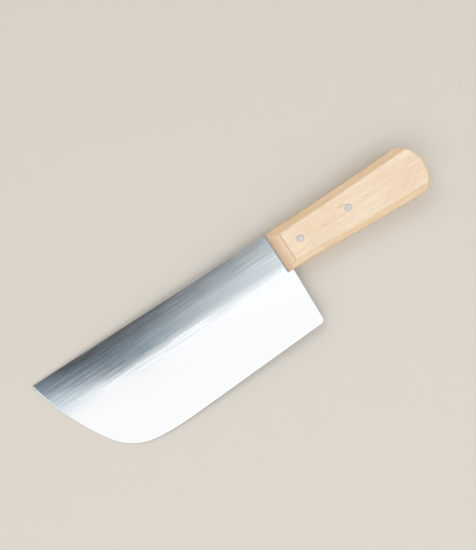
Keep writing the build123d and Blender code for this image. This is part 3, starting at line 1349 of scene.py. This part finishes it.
@dataclass(frozen=True)
class Pins:
    """The two pins that hold the tang, each a shank with a low head at both ends."""

    front_setback: float = 19.5
    rear_setback: float = 59.9
    inset: float = 16.25
    shank_radius: float = 2.0
    head_radius: float = 2.5
    head_depth: float = 1.2
    half_length: float = 9.95
    rim_round: float = 0.18
    rim_shares: tuple[Span, ...] = ((1, 0), (0.62, 0.08), (0.29, 0.29), (0.08, 0.62), (0, 1))
    crown: float = 0.05
    crown_shares: Span = (0.62, 0.25)
    dimple_radius: float = 0.8
    dimple_depth: float = 0.3
    dimple_shares: tuple[Span, ...] = ((0, 1), (0.35, 0.88), (0.7, 0.51), (1, 0), (1.12, 0))
    clearance: float = 0.05
    sides: int = 64
    sharp_angle: float = math.radians(30.0)
    merge_reach: float = 1e-4

    @property
    def hole_radius(self) -> float:
        """The radius of the holes that the shanks pass through."""
        return self.shank_radius + self.clearance

    @property
    def seat_radius(self) -> float:
        """The radius of the sunk seats that hold the heads."""
        return self.head_radius + self.clearance

    def places(self) -> list[complex]:
        """Where the pins stand, seen from above."""
        return [complex(setback, -self.inset) for setback in (self.front_setback, self.rear_setback)]

    def recipe(self, dimple: float, metal: bpy.types.Material) -> Recipe:
        """Makes the tree that turns a grid into a pin.

        Each column of the grid is one side of the pin, and each row one point of its profile, from the middle
        of the upper head out and down to the middle of the lower one.

        Args:
            dimple: depth of the punch mark in the heads, or zero.
            metal: the pins' material.

        Returns:
            The tree.
        """
        sizes = {
            "Shank Radius": self.shank_radius,
            "Head Radius": self.head_radius,
            "Head Depth": self.head_depth,
            "Half Length": self.half_length,
            "Rim Round": self.rim_round,
            "Crown": self.crown,
            "Dimple Radius": self.dimple_radius,
            "Dimple Depth": dimple,
        }
        recipe = Recipe("pin", sizes, metal)
        web, size = recipe.web, recipe.size
        head, top = size("Head Radius"), size("Half Length")
        mark, depth = size("Dimple Radius"), size("Dimple Depth")
        rim, crown = size("Rim Round"), size("Crown")
        under = top - size("Head Depth")
        profile = [(mark * out, top - depth * down) for out, down in self.dimple_shares]
        profile += [(head * self.crown_shares[0], top - crown * self.crown_shares[1])]
        profile += [(head - rim * inwards, top - crown - rim * down) for inwards, down in self.rim_shares]
        profile += [(head, under), (size("Shank Radius"), under)]
        rows = 2 * len(profile)
        inputs = {"Vertices X": self.sides + 1, "Vertices Y": rows}
        grid = web.wire("GeometryNodeMeshGrid", None, inputs, "Mesh")
        number = web.wire("GeometryNodeInputIndex")
        column = web.sum("FLOOR", number / float(rows))
        row = number - column * float(rows)
        mirrored = row > len(profile) - 0.5
        place = row + mirrored * (2.0 * len(profile) - 1.0 - 2.0 * row)
        picks = []
        for values in zip(*profile):
            switch = web.node("GeometryNodeIndexSwitch", {"data_type": "FLOAT"})
            while len(switch.index_switch_items) < len(profile):
                switch.index_switch_items.new()
            web.feed(switch.inputs["Index"], web.sum("ROUND", place))
            for socket, value in zip(list(switch.inputs)[1:], values):
                web.feed(socket, value)
            picks.append(Wire(web, switch.outputs[0]))
        radius, height = picks
        angle = column * (-FULL_TURN / self.sides)
        height = height * (1.0 - 2.0 * mirrored)
        spot = web.join(radius * web.sum("COSINE", angle), radius * web.sum("SINE", angle), height)
        turned = web.wire("GeometryNodeSetPosition", None, {"Geometry": grid, "Position": spot})
        inputs = {"Geometry": turned, "Distance": self.merge_reach}
        recipe.close(web.wire("GeometryNodeMergeByDistance", None, inputs))
        return recipe

    def build(
        self, name: str, setback: float, dimple: float, axes: KnifeAxes, metal: bpy.types.Material
    ) -> bpy.types.Object:
        """Makes one pin in its place.

        Args:
            name: the piece's name.
            setback: how far behind the front of the handle it stands.
            dimple: depth of the punch mark in its heads, or zero.
            axes: the knife's axes.
            metal: the pins' material.

        Returns:
            The finished piece.
        """
        piece = new_piece(name, np.zeros((0, 3)), [], KnifeAxes(Matrix.Identity(4)))
        made_plain(piece, self.recipe(dimple, metal).put_on(piece))
        mesh = piece.data
        stand = Matrix.Translation((setback, -self.inset, 0))
        mesh.transform(axes.from_millimetres @ stand)
        mesh.polygons.foreach_set("use_smooth", [True] * len(mesh.polygons))
        mesh.set_sharp_from_angle(angle=self.sharp_angle)
        mesh.update()
        return piece


# ---- Handle ----


@dataclass(frozen=True)
class Handle:
    """One piece of wood with chamfered long edges, a crowned butt, a rounded-down front and a sawn kerf."""

    pins: Pins
    length: float = 123.4
    half_thickness: float = 10.0
    front_depth: float = 31.3
    belly_flare: float = math.tan(math.radians(2.74))
    spine_flare: float = 1.88
    spine_crown: float = 11.4
    belly_crown: float = 9.0
    spine_chamfer: float = 5.5
    belly_chamfer: float = 4.2
    butt_corner: float = 7.0
    butt_break: float = 1.2
    front_round_length: float = 8.4
    front_round_radius: float = 15.0
    front_land: float = 2.0
    kerf_half: float = 1.2
    kerf_length: float = 77.0
    seat_depth: float = 1.25
    crisp: float = 0.25
    sanded: float = 0.9
    worn: float = 0.5
    belly_worn: float = 2.4
    belly_worn_spread: float = 9.6
    belly_worn_start: float = 0.2
    fine: float = 0.6
    coarse: float = 1.4
    front_fine_share: float = 1.4
    dot_rows: tuple[tuple[float, float, int], ...] = ((0.015, 0.24, 18), (0.27, 0.73, 26), (0.76, 0.985, 18))
    dot_clear: float = 0.1
    slope_reach: float = 1e-4
    least_slope: float = 0.2
    settle_rounds: int = 6

    @property
    def spine_side_length(self) -> float:
        """Where the spine side ends and the crown of the butt begins."""
        return self.length - self.spine_crown

    @property
    def belly_side_length(self) -> float:
        """Where the belly side ends and the crown of the butt begins."""
        return self.length - self.belly_crown

    @property
    def spine_radius(self) -> float:
        """The radius of the spine side's slight hollow."""
        return (self.spine_side_length**2 + self.spine_flare**2) / (2 * self.spine_flare)

    @property
    def hollow(self) -> complex:
        """The centre of that hollow."""
        return complex(0, self.spine_radius)

    @property
    def belly_way(self) -> complex:
        """The direction of the belly side, towards the butt."""
        return unit(complex(1, -self.belly_flare))

    def front_centre(self) -> complex:
        """Finds the centre of the round at the front.

        Returns:
            The centre, as x along the knife and height above the mid plane.
        """
        chord = complex(self.front_round_length, self.half_thickness - self.front_land)
        sag = math.sqrt(self.front_round_radius**2 - abs(chord / 2) ** 2)
        return complex(0, self.front_land) + chord / 2 - 1j * unit(chord) * sag

    def spine_side(self, x: np.ndarray) -> np.ndarray:
        """The height of the spine side at a place along the handle."""
        ahead = np.maximum(x, 0)
        return self.spine_radius - np.sqrt(self.spine_radius**2 - ahead**2)

    def belly_side(self, x: np.ndarray) -> np.ndarray:
        """The height of the belly side at a place along the handle."""
        return -self.front_depth - x * self.belly_flare

    def kerf_ends(self) -> tuple[complex, complex]:
        """Where the kerf's end meets the spine side and the belly side."""
        sides = self.spine_side(self.kerf_length), self.belly_side(self.kerf_length)
        return tuple(complex(self.kerf_length, float(side)) for side in sides)

    def butt_circle(self) -> tuple[complex, float]:
        """Finds the crown of the butt.

        Returns:
            The crown's centre and radius.
        """
        upper = complex(self.spine_side_length, self.spine_flare)
        lower = complex(self.belly_side_length, float(self.belly_side(self.belly_side_length)))
        top = complex(self.length, (upper.imag + lower.imag) / 2)
        centre = circle_through(upper, top, lower)
        return centre, abs(top - centre)

    def corner_centres(self) -> tuple[complex, complex]:
        """Finds the centres of the two rounds between the long sides and the crown.

        Returns:
            The centre by the spine side, and the one by the belly side.
        """
        crown, radius = self.butt_circle()
        reach = radius - self.butt_corner
        upper = circles_meet(self.hollow, self.spine_radius + self.butt_corner, crown, reach)
        start = complex(0, -self.front_depth) + 1j * self.belly_way * self.butt_corner
        offset = (crown - start) * self.belly_way.conjugate()
        lower = start + self.belly_way * (offset.real + math.sqrt(reach**2 - offset.imag**2))
        return upper, lower

    def outline(self) -> np.ndarray:
        """Draws the handle seen from above.

        Returns:
            The points, anticlockwise from the spine corner of its front, the first not given again.
        """
        crown, _ = self.butt_circle()
        upper, lower = self.corner_centres()
        belly_end = lower - 1j * self.belly_way * self.butt_corner
        lower_touch = lower + unit(lower - crown) * self.butt_corner
        upper_touch = upper + unit(upper - crown) * self.butt_corner
        spine_end = upper + unit(self.hollow - upper) * self.butt_corner
        spine_split, belly_split = self.kerf_ends()
        front = complex(0, -self.front_depth)
        runs = [
            straight(0j, front, self.fine),
            straight(front, belly_split, self.coarse / 2),
            straight(belly_split, belly_end, self.coarse / 2),
            arc(lower, belly_end, lower_touch, self.fine),
            arc(crown, lower_touch, upper_touch, self.fine),
            arc(upper, upper_touch, spine_end, self.fine),
            arc(self.hollow, spine_end, spine_split, self.coarse / 2),
            arc(self.hollow, spine_split, 0j, self.coarse / 2),
        ]
        return joined(runs)[:-1]

    def outside(self, flat: np.ndarray) -> np.ndarray:
        """Measures how far points lie outside the outline.

        Args:
            flat: the points.

        Returns:
            The distances, negative within the outline.
        """
        crown, radius = self.butt_circle()
        spine, belly = self.beyond_sides(flat)
        bow = abs(flat - crown) - radius
        found = np.maximum(np.maximum(spine, belly), np.where(flat.real > crown.real, bow, -np.inf))
        upper, lower = self.corner_centres()
        for centre, to_side in ((upper, self.hollow - upper), (lower, -1j * self.belly_way)):
            to_crown, away = centre - crown, flat - centre
            turn = -1 if (to_crown / to_side).imag < 0 else 1
            within = ((away / to_side).imag * turn > 0) & ((away / to_crown).imag * turn < 0)
            found = np.where(within, abs(away) - self.butt_corner, found)
        return np.maximum(found, -flat.real)

    def beyond_sides(self, flat: np.ndarray) -> tuple[np.ndarray, np.ndarray]:
        """Measures how far points lie beyond the two long sides.

        Args:
            flat: the points.

        Returns:
            The distances beyond the spine side and beyond the belly side, negative within.
        """
        spine = np.where(flat.real < 0, flat.imag, self.spine_radius - abs(flat - self.hollow))
        belly = (self.belly_side(flat.real) - flat.imag) / math.hypot(1, self.belly_flare)
        return spine, belly

    def surface(self, points: np.ndarray) -> np.ndarray:
        """Measures how far points lie outside the handle's skin with its softened edges.

        Args:
            points: knife millimetres, one row each.

        Returns:
            About the distances, zero on the skin and negative inside.
        """
        flat = points[:, 0] + 1j * points[:, 1]
        height = abs(points[:, 2])
        spine, belly = self.beyond_sides(flat)
        out = self.outside(flat)
        top = height - self.half_thickness
        found = smooth_max(top, (top + self.spine_chamfer + spine) * CHAMFER_LIFT, self.sanded)
        found = smooth_max(found, (top + self.belly_chamfer + belly) * CHAMFER_LIFT, self.crisp)
        found = smooth_max(found, (top + self.butt_break + out) * CHAMFER_LIFT, self.worn)
        centre = self.front_centre()
        ahead = np.minimum(points[:, 0], centre.real) - centre.real
        front = np.hypot(ahead, height - centre.imag) - self.front_round_radius
        found = smooth_max(found, front, self.crisp)
        towards_belly = np.clip(0.5 - (flat.imag + self.front_depth / 2) / self.belly_worn_spread, 0, 1)
        towards_belly *= np.clip(flat.real / self.front_round_length - self.belly_worn_start, 0, 1)
        return smooth_max(found, out, self.worn + (self.belly_worn - self.worn) * towards_belly)

    def slope(self, points: np.ndarray) -> np.ndarray:
        """Finds which way the distance to the skin grows fastest.

        Args:
            points: knife millimetres, one row each.

        Returns:
            The directions, not made unit length.
        """
        columns = []
        for axis in np.eye(3) * self.slope_reach:
            rise = self.surface(points + axis) - self.surface(points - axis)
            columns.append(rise / (2 * self.slope_reach))
        return np.column_stack(columns)

    def settled(self, points: np.ndarray) -> np.ndarray:
        """Moves points onto the softened skin.

        Args:
            points: knife millimetres, one row each.

        Returns:
            The moved points.
        """
        for _ in range(self.settle_rounds):
            slope = self.slope(points)
            share = self.surface(points) / np.maximum((slope**2).sum(axis=1), self.least_slope)
            points = points - slope * share[:, None]
        return points

    def sharp_height(self, flat: np.ndarray) -> np.ndarray:
        """Finds the height of the upper skin before its edges are softened.

        Args:
            flat: the places.

        Returns:
            The heights above the mid plane.
        """
        height = np.full(len(flat), self.half_thickness)
        cuts = (self.spine_chamfer, self.belly_chamfer, self.butt_break)
        for cut, beyond in zip(cuts, (*self.beyond_sides(flat), self.outside(flat))):
            height = np.minimum(height, self.half_thickness - cut - np.minimum(beyond, 0))
        centre = self.front_centre()
        ahead = np.minimum(flat.real, centre.real) - centre.real
        front = centre.imag + np.sqrt(self.front_round_radius**2 - ahead**2)
        return np.minimum(height, front)

    def dots(self) -> np.ndarray:
        """Scatters loose points over the outline, closer near the front, the butt and the long edges.

        Returns:
            The points.
        """
        front = self.front_round_length * self.front_fine_share
        butt = self.spine_side_length - self.butt_corner / 2
        spans = (0, front, self.fine), (front, butt, self.coarse), (butt, self.length, self.fine)
        x = np.concatenate([np.arange(low + gap / 2, high, gap) for low, high, gap in spans])
        share = np.concatenate([np.linspace(*span) for span in self.dot_rows])
        upper, lower = self.spine_side(x), self.belly_side(x)
        y = upper[:, None] + (lower - upper)[:, None] * share[None, :]
        flat = (x[:, None] + 1j * y).ravel()
        return flat[self.outside(flat) < -self.dot_clear]

    def build(self, axes: KnifeAxes, wood: bpy.types.Material) -> bpy.types.Object:
        """Makes the handle as one closed mesh.

        Args:
            axes: the knife's axes.
            wood: the handle's material.

        Returns:
            The finished piece.
        """
        loop = self.outline()
        closed = np.append(loop, loop[0])
        kerf_end = straight(*self.kerf_ends(), self.coarse)
        seats = [place + self.pins.seat_radius * unit_circle() for place in self.pins.places()]
        holes = [place + self.pins.hole_radius * unit_circle() for place in self.pins.places()]
        flat, faces = paving([closed, kerf_end, *seats, *holes], self.dots(), self.fine / 3)
        middles = flat[faces].mean(axis=1)
        in_seat = np.zeros(len(faces), bool)
        in_hole = np.zeros(len(faces), bool)
        for seat, hole in zip(seats, holes):
            in_seat |= is_inside(middles, seat[:-1])
            in_hole |= is_inside(middles, hole[:-1])
        within = is_inside(middles, loop) & ~in_hole
        shell = HandleShell(self, flat)
        skin, floor = faces[within & ~in_seat], faces[within & in_seat]
        cut = faces[within & (middles.real < self.kerf_length)]
        for side in (1, -1):
            shell.add_side(side, skin, floor, cut)
        shell.add_middle(skin, cut)
        return shell.piece(axes, wood)


def circles_meet(first: complex, first_radius: float, second: complex, second_radius: float) -> complex:
    """Finds where two circles meet, on the side nearer the butt.

    Args:
        first: the centre of the first.
        first_radius: its radius.
        second: the centre of the second.
        second_radius: its radius.

    Returns:
        The place.
    """
    apart = abs(second - first)
    along = (apart**2 + first_radius**2 - second_radius**2) / (2 * apart)
    away = math.sqrt(first_radius**2 - along**2)
    choices = [first + unit(second - first) * complex(along, aside) for aside in (away, -away)]
    return max(choices, key=lambda point: point.real)


def smooth_max(first: np.ndarray, second: np.ndarray, blend: float) -> np.ndarray:
    """Takes the larger of two values, rounded off where they are close.

    Args:
        first: the one value.
        second: the other.
        blend: how close they are where the rounding starts.

    Returns:
        The rounded larger value.
    """
    near = np.maximum(blend - abs(first - second), 0) / blend
    return np.maximum(first, second) + near**3 * blend / 6


class Level(Enum):
    """The heights at which the handle's points stand."""

    SKIN = 0
    SEAT = 1
    KERF = 2


class HandleShell:
    """Collects the handle's points and polygons, then makes them one mesh."""

    drops: tuple[float, ...] = (0.25, 0.6, 1.1, 1.9)
    drop_margin: float = 1.3
    seat_margin: float = 1.5

    def __init__(self, handle: Handle, flat: np.ndarray) -> None:
        """Starts from the paved points.

        Args:
            handle: the handle's sizes.
            flat: the paved points, as complex numbers.
        """
        self.handle = handle
        self.flat = flat
        self.points: list[Triple] = []
        self.on_skin: list[bool] = []
        self.polygons: list[list[int]] = []
        self.is_skin: list[bool] = []
        self.numbers: dict[tuple, int] = {}
        self.top = handle.sharp_height(flat)

    def point(self, key: tuple, number: int, height: float, on_skin: bool) -> int:
        """Looks up the point under a key, and makes it at the first call.

        Args:
            key: what it is kept under.
            number: the paved point that it stands at.
            height: its height above the mid plane.
            on_skin: whether it belongs to the softened skin.

        Returns:
            Its number.
        """
        if key not in self.numbers:
            self.numbers[key] = len(self.points)
            place = self.flat[number]
            self.points.append((place.real, place.imag, height))
            self.on_skin.append(on_skin)
        return self.numbers[key]

    def at(self, level: Level, side: int, number: int) -> int:
        """Looks up a paved point at one of the levels.

        Args:
            level: the level.
            side: 1 above the mid plane, -1 below it.
            number: the paved point.

        Returns:
            The number of the point there.
        """
        handle = self.handle
        heights = {
            Level.SKIN: self.top[number],
            Level.SEAT: handle.half_thickness - handle.seat_depth,
            Level.KERF: handle.kerf_half,
        }
        return self.point((level, side, number), number, side * heights[level], level is Level.SKIN)

    def row(self, side: int, number: int) -> list[int]:
        """Makes a column of points down the outer wall, from the skin to the kerf's level.

        Args:
            side: 1 above the mid plane, -1 below it.
            number: the paved point.

        Returns:
            The numbers of the points, from the skin on.
        """
        top, low = float(self.top[number]), self.handle.kerf_half
        column = [self.at(Level.SKIN, side, number)]
        for order, drop in enumerate(self.drops):
            height = top - drop * min(1.0, (top - low) / (self.drops[-1] * self.drop_margin))
            column.append(self.point(("wall", side, number, order), number, side * height, True))
        return [*column, self.at(Level.KERF, side, number)]

    def add(self, corners: list[int], side: int, is_skin: bool) -> None:
        """Adds a polygon.

        Args:
            corners: its point numbers.
            side: 1 above the mid plane, -1 below it, where it is turned over.
            is_skin: whether it belongs to the softened skin.
        """
        self.polygons.append(corners if side > 0 else corners[::-1])
        self.is_skin.append(is_skin)

    def add_side(self, side: int, skin: np.ndarray, floor: np.ndarray, cut: np.ndarray) -> None:
        """Adds everything above or below the kerf.

        Args:
            side: 1 above the mid plane, -1 below it.
            skin: triangles of the outer skin.
            floor: triangles of the seats' floors.
            cut: triangles of the kerf's wall.
        """
        for level, triangles in ((Level.SKIN, skin), (Level.SEAT, floor), (Level.KERF, cut[:, ::-1])):
            for corners in triangles.tolist():
                self.add([self.at(level, side, number) for number in corners], side, level is Level.SKIN)
        for start, end in rim_of(skin).tolist():
            if self.is_outer(start, end):
                ahead, behind = self.row(side, end), self.row(side, start)
                for order in range(len(ahead) - 1):
                    corners = [ahead[order], behind[order], behind[order + 1], ahead[order + 1]]
                    self.add(corners, side, True)
            else:
                self.add_wall(Level.SKIN, Level.SEAT, side, start, end)
        seen = {tuple(pair) for pair in rim_of(skin).tolist()}
        for start, end in rim_of(floor).tolist():
            if (end, start) not in seen:
                self.add_wall(Level.SEAT, Level.KERF, side, start, end)

    def add_wall(self, high: Level, low: Level, side: int, start: int, end: int) -> None:
        """Adds one flat wall piece between two levels.

        Args:
            high: the level of its upper edge.
            low: the level of its lower edge.
            side: 1 above the mid plane, -1 below it.
            start: the paved point where it starts.
            end: the paved point where it ends.
        """
        places = (high, end), (high, start), (low, start), (low, end)
        self.add([self.at(level, side, number) for level, number in places], side, False)

    def is_outer(self, start: int, end: int) -> bool:
        """Whether an edge of the skin lies on the handle's outline, not round a seat."""
        middle, pins = (self.flat[start] + self.flat[end]) / 2, self.handle.pins
        return min(abs(middle - place) for place in pins.places()) > pins.seat_radius * self.seat_margin

    def add_middle(self, skin: np.ndarray, cut: np.ndarray) -> None:
        """Joins the two sides behind the kerf, and closes the kerf's end.

        Args:
            skin: triangles of the outer skin.
            cut: triangles of the kerf's wall.
        """
        limit = self.handle.kerf_length
        for start, end in rim_of(skin).tolist():
            middle = (self.flat[start] + self.flat[end]) / 2
            if self.is_outer(start, end) and middle.real > limit:
                self.add_bridge(start, end, True)
        for start, end in rim_of(cut).tolist():
            if max(abs(self.flat[[start, end]].real - limit)) < KERF_END_REACH:
                self.add_bridge(end, start, False)

    def add_bridge(self, start: int, end: int, is_skin: bool) -> None:
        """Adds one wall piece from the upper kerf level to the lower one.

        Args:
            start: the paved point where it starts.
            end: the paved point where it ends.
            is_skin: whether it belongs to the softened skin.
        """
        upper = [self.at(Level.KERF, 1, end), self.at(Level.KERF, 1, start)]
        lower = [self.at(Level.KERF, -1, start), self.at(Level.KERF, -1, end)]
        self.add([*upper, *lower], 1, is_skin)

    def piece(self, axes: KnifeAxes, wood: bpy.types.Material) -> bpy.types.Object:
        """Makes the mesh, softens its edges and gives every corner its true normal.

        Args:
            axes: the knife's axes.
            wood: the handle's material.

        Returns:
            The finished piece.
        """
        points = np.array(self.points)
        on_skin = np.array(self.on_skin)
        points[on_skin] = self.handle.settled(points[on_skin])
        piece = new_piece("cleaver_handle", points, self.polygons, axes)
        mesh = piece.data
        slope = self.handle.slope(points)
        normals = slope / np.maximum(np.linalg.norm(slope, axis=1), 1e-9)[:, None]
        give_attribute(mesh, "end_grain", abs(normals[:, 0]))
        # how far each point faces sideways, which the wood's material darkens as painted shade
        give_attribute(mesh, "side_facing", abs(normals[:, 1]))
        corners = np.zeros(len(mesh.loops), int)
        mesh.loops.foreach_get("vertex_index", corners)
        counts = np.array([len(polygon.vertices) for polygon in mesh.polygons])
        flat = np.zeros(len(mesh.polygons) * 3)
        mesh.polygons.foreach_get("normal", flat)
        flat = np.repeat(flat.reshape(-1, 3), counts, axis=0)
        skin = np.repeat(np.array(self.is_skin), counts)
        chosen = np.where(skin[:, None], axes.turned(normals)[corners], flat)
        mesh.normals_split_custom_set(chosen.tolist())
        mesh.materials.append(wood)
        mesh.update()
        return piece


# ---- Studio ----


@dataclass(frozen=True)
class Room:
    """What the steel reflects beside the lights: soft walls, and a dim ceiling that is lighter near them.

    Its spans are parts of a direction, where one is straight along the axis that the name gives.
    """

    near_wall: Triple = (0.76, 0.74, 0.71)
    far_wall: Triple = (0.50, 0.46, 0.42)
    wall_span: Span = (-0.1, 0.3)
    wall_rise: Span = (0.1, 0.6)
    wall_strengths: Span = (0.76, 1.13)
    ceiling_rise: Span = (0.60, 0.93)
    lamp_edge: Span = (-0.012, 0.028)
    dim: float = 0.065
    dim_gain: float = 0.33
    dim_most: float = 0.7
    dim_start: float = -0.175
    dim_span: float = 0.166
    dim_power: float = 2.1
    tip_tone: Triple = (1.16, 1.00, 0.92)
    butt_tone: Triple = (0.98, 1.00, 1.01)
    tone_span: Span = (-0.17, -0.06)
    glow_span: Span = (-0.058, -0.038)
    glow: float = 0.30
    glow_gain: float = 0.42
    glow_gain_span: Span = (-0.19, -0.05)
    tip_glow: float = 0.04
    tip_glow_span: Span = (0.20, 0.24)
    tip_tint: Triple = (0.68, 1.0, 1.24)
    butt_tint: Triple = (0.88, 1.0, 1.07)
    tint_span: Span = (-0.19, -0.06)

    def build(self) -> None:
        """Fills the scene's world with the room."""
        world = bpy.data.worlds.new("room")
        bpy.context.scene.world = world
        world.use_nodes = True
        web = Web(world.node_tree)
        x, y, z = web.split(web.wire("ShaderNodeTexCoord", None, None, "Generated"))
        colour = web.mix(web.step(z, *self.ceiling_rise), self.walls(web, y, z), self.ceiling(web, x, y))
        light = web.node("ShaderNodeBackground", None, {"Color": colour, "Strength": 1.0})
        web.node("ShaderNodeOutputWorld", None, {"Surface": light.outputs[0]})

    def walls(self, web: Web, y: Wire, z: Wire) -> Wire:
        """Colours the walls, from the one behind the edge to the one beyond the spine.

        Args:
            web: the world's tree.
            y: how far the direction looks towards the spine.
            z: how far it looks up.

        Returns:
            The colour.
        """
        colour = web.mix(web.step(y, *self.wall_span), self.near_wall, self.far_wall)
        return web.scaled(colour, web.step(z, *self.wall_rise, *self.wall_strengths))

    def ceiling(self, web: Web, x: Wire, y: Wire) -> Wire:
        """Colours the ceiling: a dim plain part beyond the wide light, and a glow along the light's edge.

        Args:
            web: the world's tree.
            x: how far the direction looks towards the butt.
            y: how far it looks towards the spine.

        Returns:
            The colour.
        """
        beyond = web.step(y, *self.lamp_edge)
        towards_butt = web.sum("MAXIMUM", (x - self.dim_start) / self.dim_span, 0.0) ** self.dim_power
        dim = web.sum("MINIMUM", self.dim + self.dim_gain * towards_butt, self.dim_most)
        gain = self.glow + self.glow_gain * web.step(x, *self.glow_gain_span)
        glow = web.step(-y, *self.glow_span) * (gain + self.tip_glow * web.step(-x, *self.tip_glow_span))
        tone = web.mix(web.step(x, *self.tone_span), self.tip_tone, self.butt_tone)
        tint = web.mix(web.step(x, *self.tint_span), self.tip_tint, self.butt_tint)
        return web.vector("ADD", web.scaled(tone, dim * beyond), web.scaled(tint, glow * beyond))


@dataclass(frozen=True)
class Studio:
    """The floor, the soft light and the camera."""

    azimuth: float = math.radians(-32.9)
    elevation: float = math.radians(84.0)
    distance: float = 0.79992
    target: Triple = (0.00647, 0.02678, 0.0)
    lens: float = 72.0
    sensor: float = 36.0
    floor_reach: float = 12.0
    light_height: float = 1.5
    light_near: float = 0.028
    light_far: float = -1.3
    light_reach: Span = (-1.6, 1.3)
    light_strength: float = 1.47
    fill_place: Triple = (-0.35, 1.15, 1.9)
    fill_size: float = 1.2
    fill_strength: float = 2.1
    light_colour: Triple = (1.0, 0.995, 0.985)
    clip_start: float = 0.01

    def build(self) -> None:
        """Makes the whole set."""
        self.lay_floor()
        self.hang_lights()
        Room().build()
        self.set_camera()

    def lay_floor(self) -> None:
        """Lays the floor on which the knife lies."""
        reach = self.floor_reach
        mesh = bpy.data.meshes.new("floor")
        corners = [(-reach, -reach, 0), (reach, -reach, 0), (reach, reach, 0), (-reach, reach, 0)]
        mesh.from_pydata(corners, [], [(0, 1, 2, 3)])
        floor = bpy.data.objects.new("floor", mesh)
        bpy.context.scene.collection.objects.link(floor)
        mesh.materials.append(FloorPaint().build())

    def hang_lights(self) -> None:
        """Hangs one wide soft light over the edge side of the knife, and a smaller one beyond its spine."""
        left, right = self.light_reach
        middle = Vector(((left + right) / 2, (self.light_near + self.light_far) / 2, self.light_height))
        size = (right - left, self.light_near - self.light_far)
        self.hang("wide_light", middle, Vector((0, 0, 1)), size, self.light_strength)
        place = Vector(self.fill_place)
        self.hang("fill_light", place, place, (self.fill_size, self.fill_size), self.fill_strength)

    def hang(
        self, name: str, place: Vector, back: Vector, size: Span, strength: float
    ) -> None:
        """Hangs one soft rectangular light.

        Args:
            name: the light's name.
            place: where its middle is.
            back: the way that its back faces.
            size: its two sides.
            strength: how bright its face is, where one is white.
        """
        lamp = bpy.data.lights.new(name, "AREA")
        lamp.shape = "RECTANGLE"
        lamp.size, lamp.size_y = size
        lamp.energy = strength * math.pi * lamp.size * lamp.size_y
        lamp.color = self.light_colour
        holder = bpy.data.objects.new(name, lamp)
        holder.location = place
        holder.rotation_mode = "QUATERNION"
        holder.rotation_quaternion = back.to_track_quat("Z", "Y")
        bpy.context.scene.collection.objects.link(holder)

    def set_camera(self) -> None:
        """Sets the camera at the photograph's viewing angle."""
        lens = bpy.data.cameras.new("camera")
        lens.lens = self.lens
        lens.sensor_width = self.sensor
        lens.clip_start = self.clip_start
        camera = bpy.data.objects.new("camera", lens)
        level = math.cos(self.elevation)
        ahead, aside = math.cos(self.azimuth) * level, math.sin(self.azimuth) * level
        back = Vector((aside, -ahead, math.sin(self.elevation)))
        camera.location = Vector(self.target) + back * self.distance
        camera.rotation_mode = "QUATERNION"
        camera.rotation_quaternion = back.to_track_quat("Z", "Y")
        bpy.context.scene.collection.objects.link(camera)
        bpy.context.scene.camera = camera


def settle(piece: bpy.types.Object, node: str) -> None:
    """Puts a finished piece in the place of its CAD node and reports it.

    Args:
        piece: the piece.
        node: the CAD node.
    """
    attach(piece, "root")
    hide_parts(node)
    LOG.info("%s: %d polygons", piece.name, len(piece.data.polygons))


def main() -> None:
    """Builds the knife and its studio."""
    logging.basicConfig(level=logging.INFO, format="%(name)s: %(message)s")
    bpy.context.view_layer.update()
    pins = Pins()
    handle = Handle(pins)
    axes = KnifeAxes.from_frame(pins)
    settle(Blade().build(axes, handle, BladeSteel().build(axes, handle)), "blade")
    settle(handle.build(axes, HandleWood().build(axes, handle)), "handle")
    metal = PinMetal().build(axes, pins)
    front = pins.build("cleaver_front_pin", pins.front_setback, 0.0, axes, metal)
    rear = pins.build("cleaver_rear_pin", pins.rear_setback, pins.dimple_depth, axes, metal)
    settle(front, "front_pin")
    settle(rear, "rear_pin")
    Studio().build()
    bpy.context.scene.view_settings.view_transform = "Standard"
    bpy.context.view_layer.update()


if __name__ == "__main__":
    main()
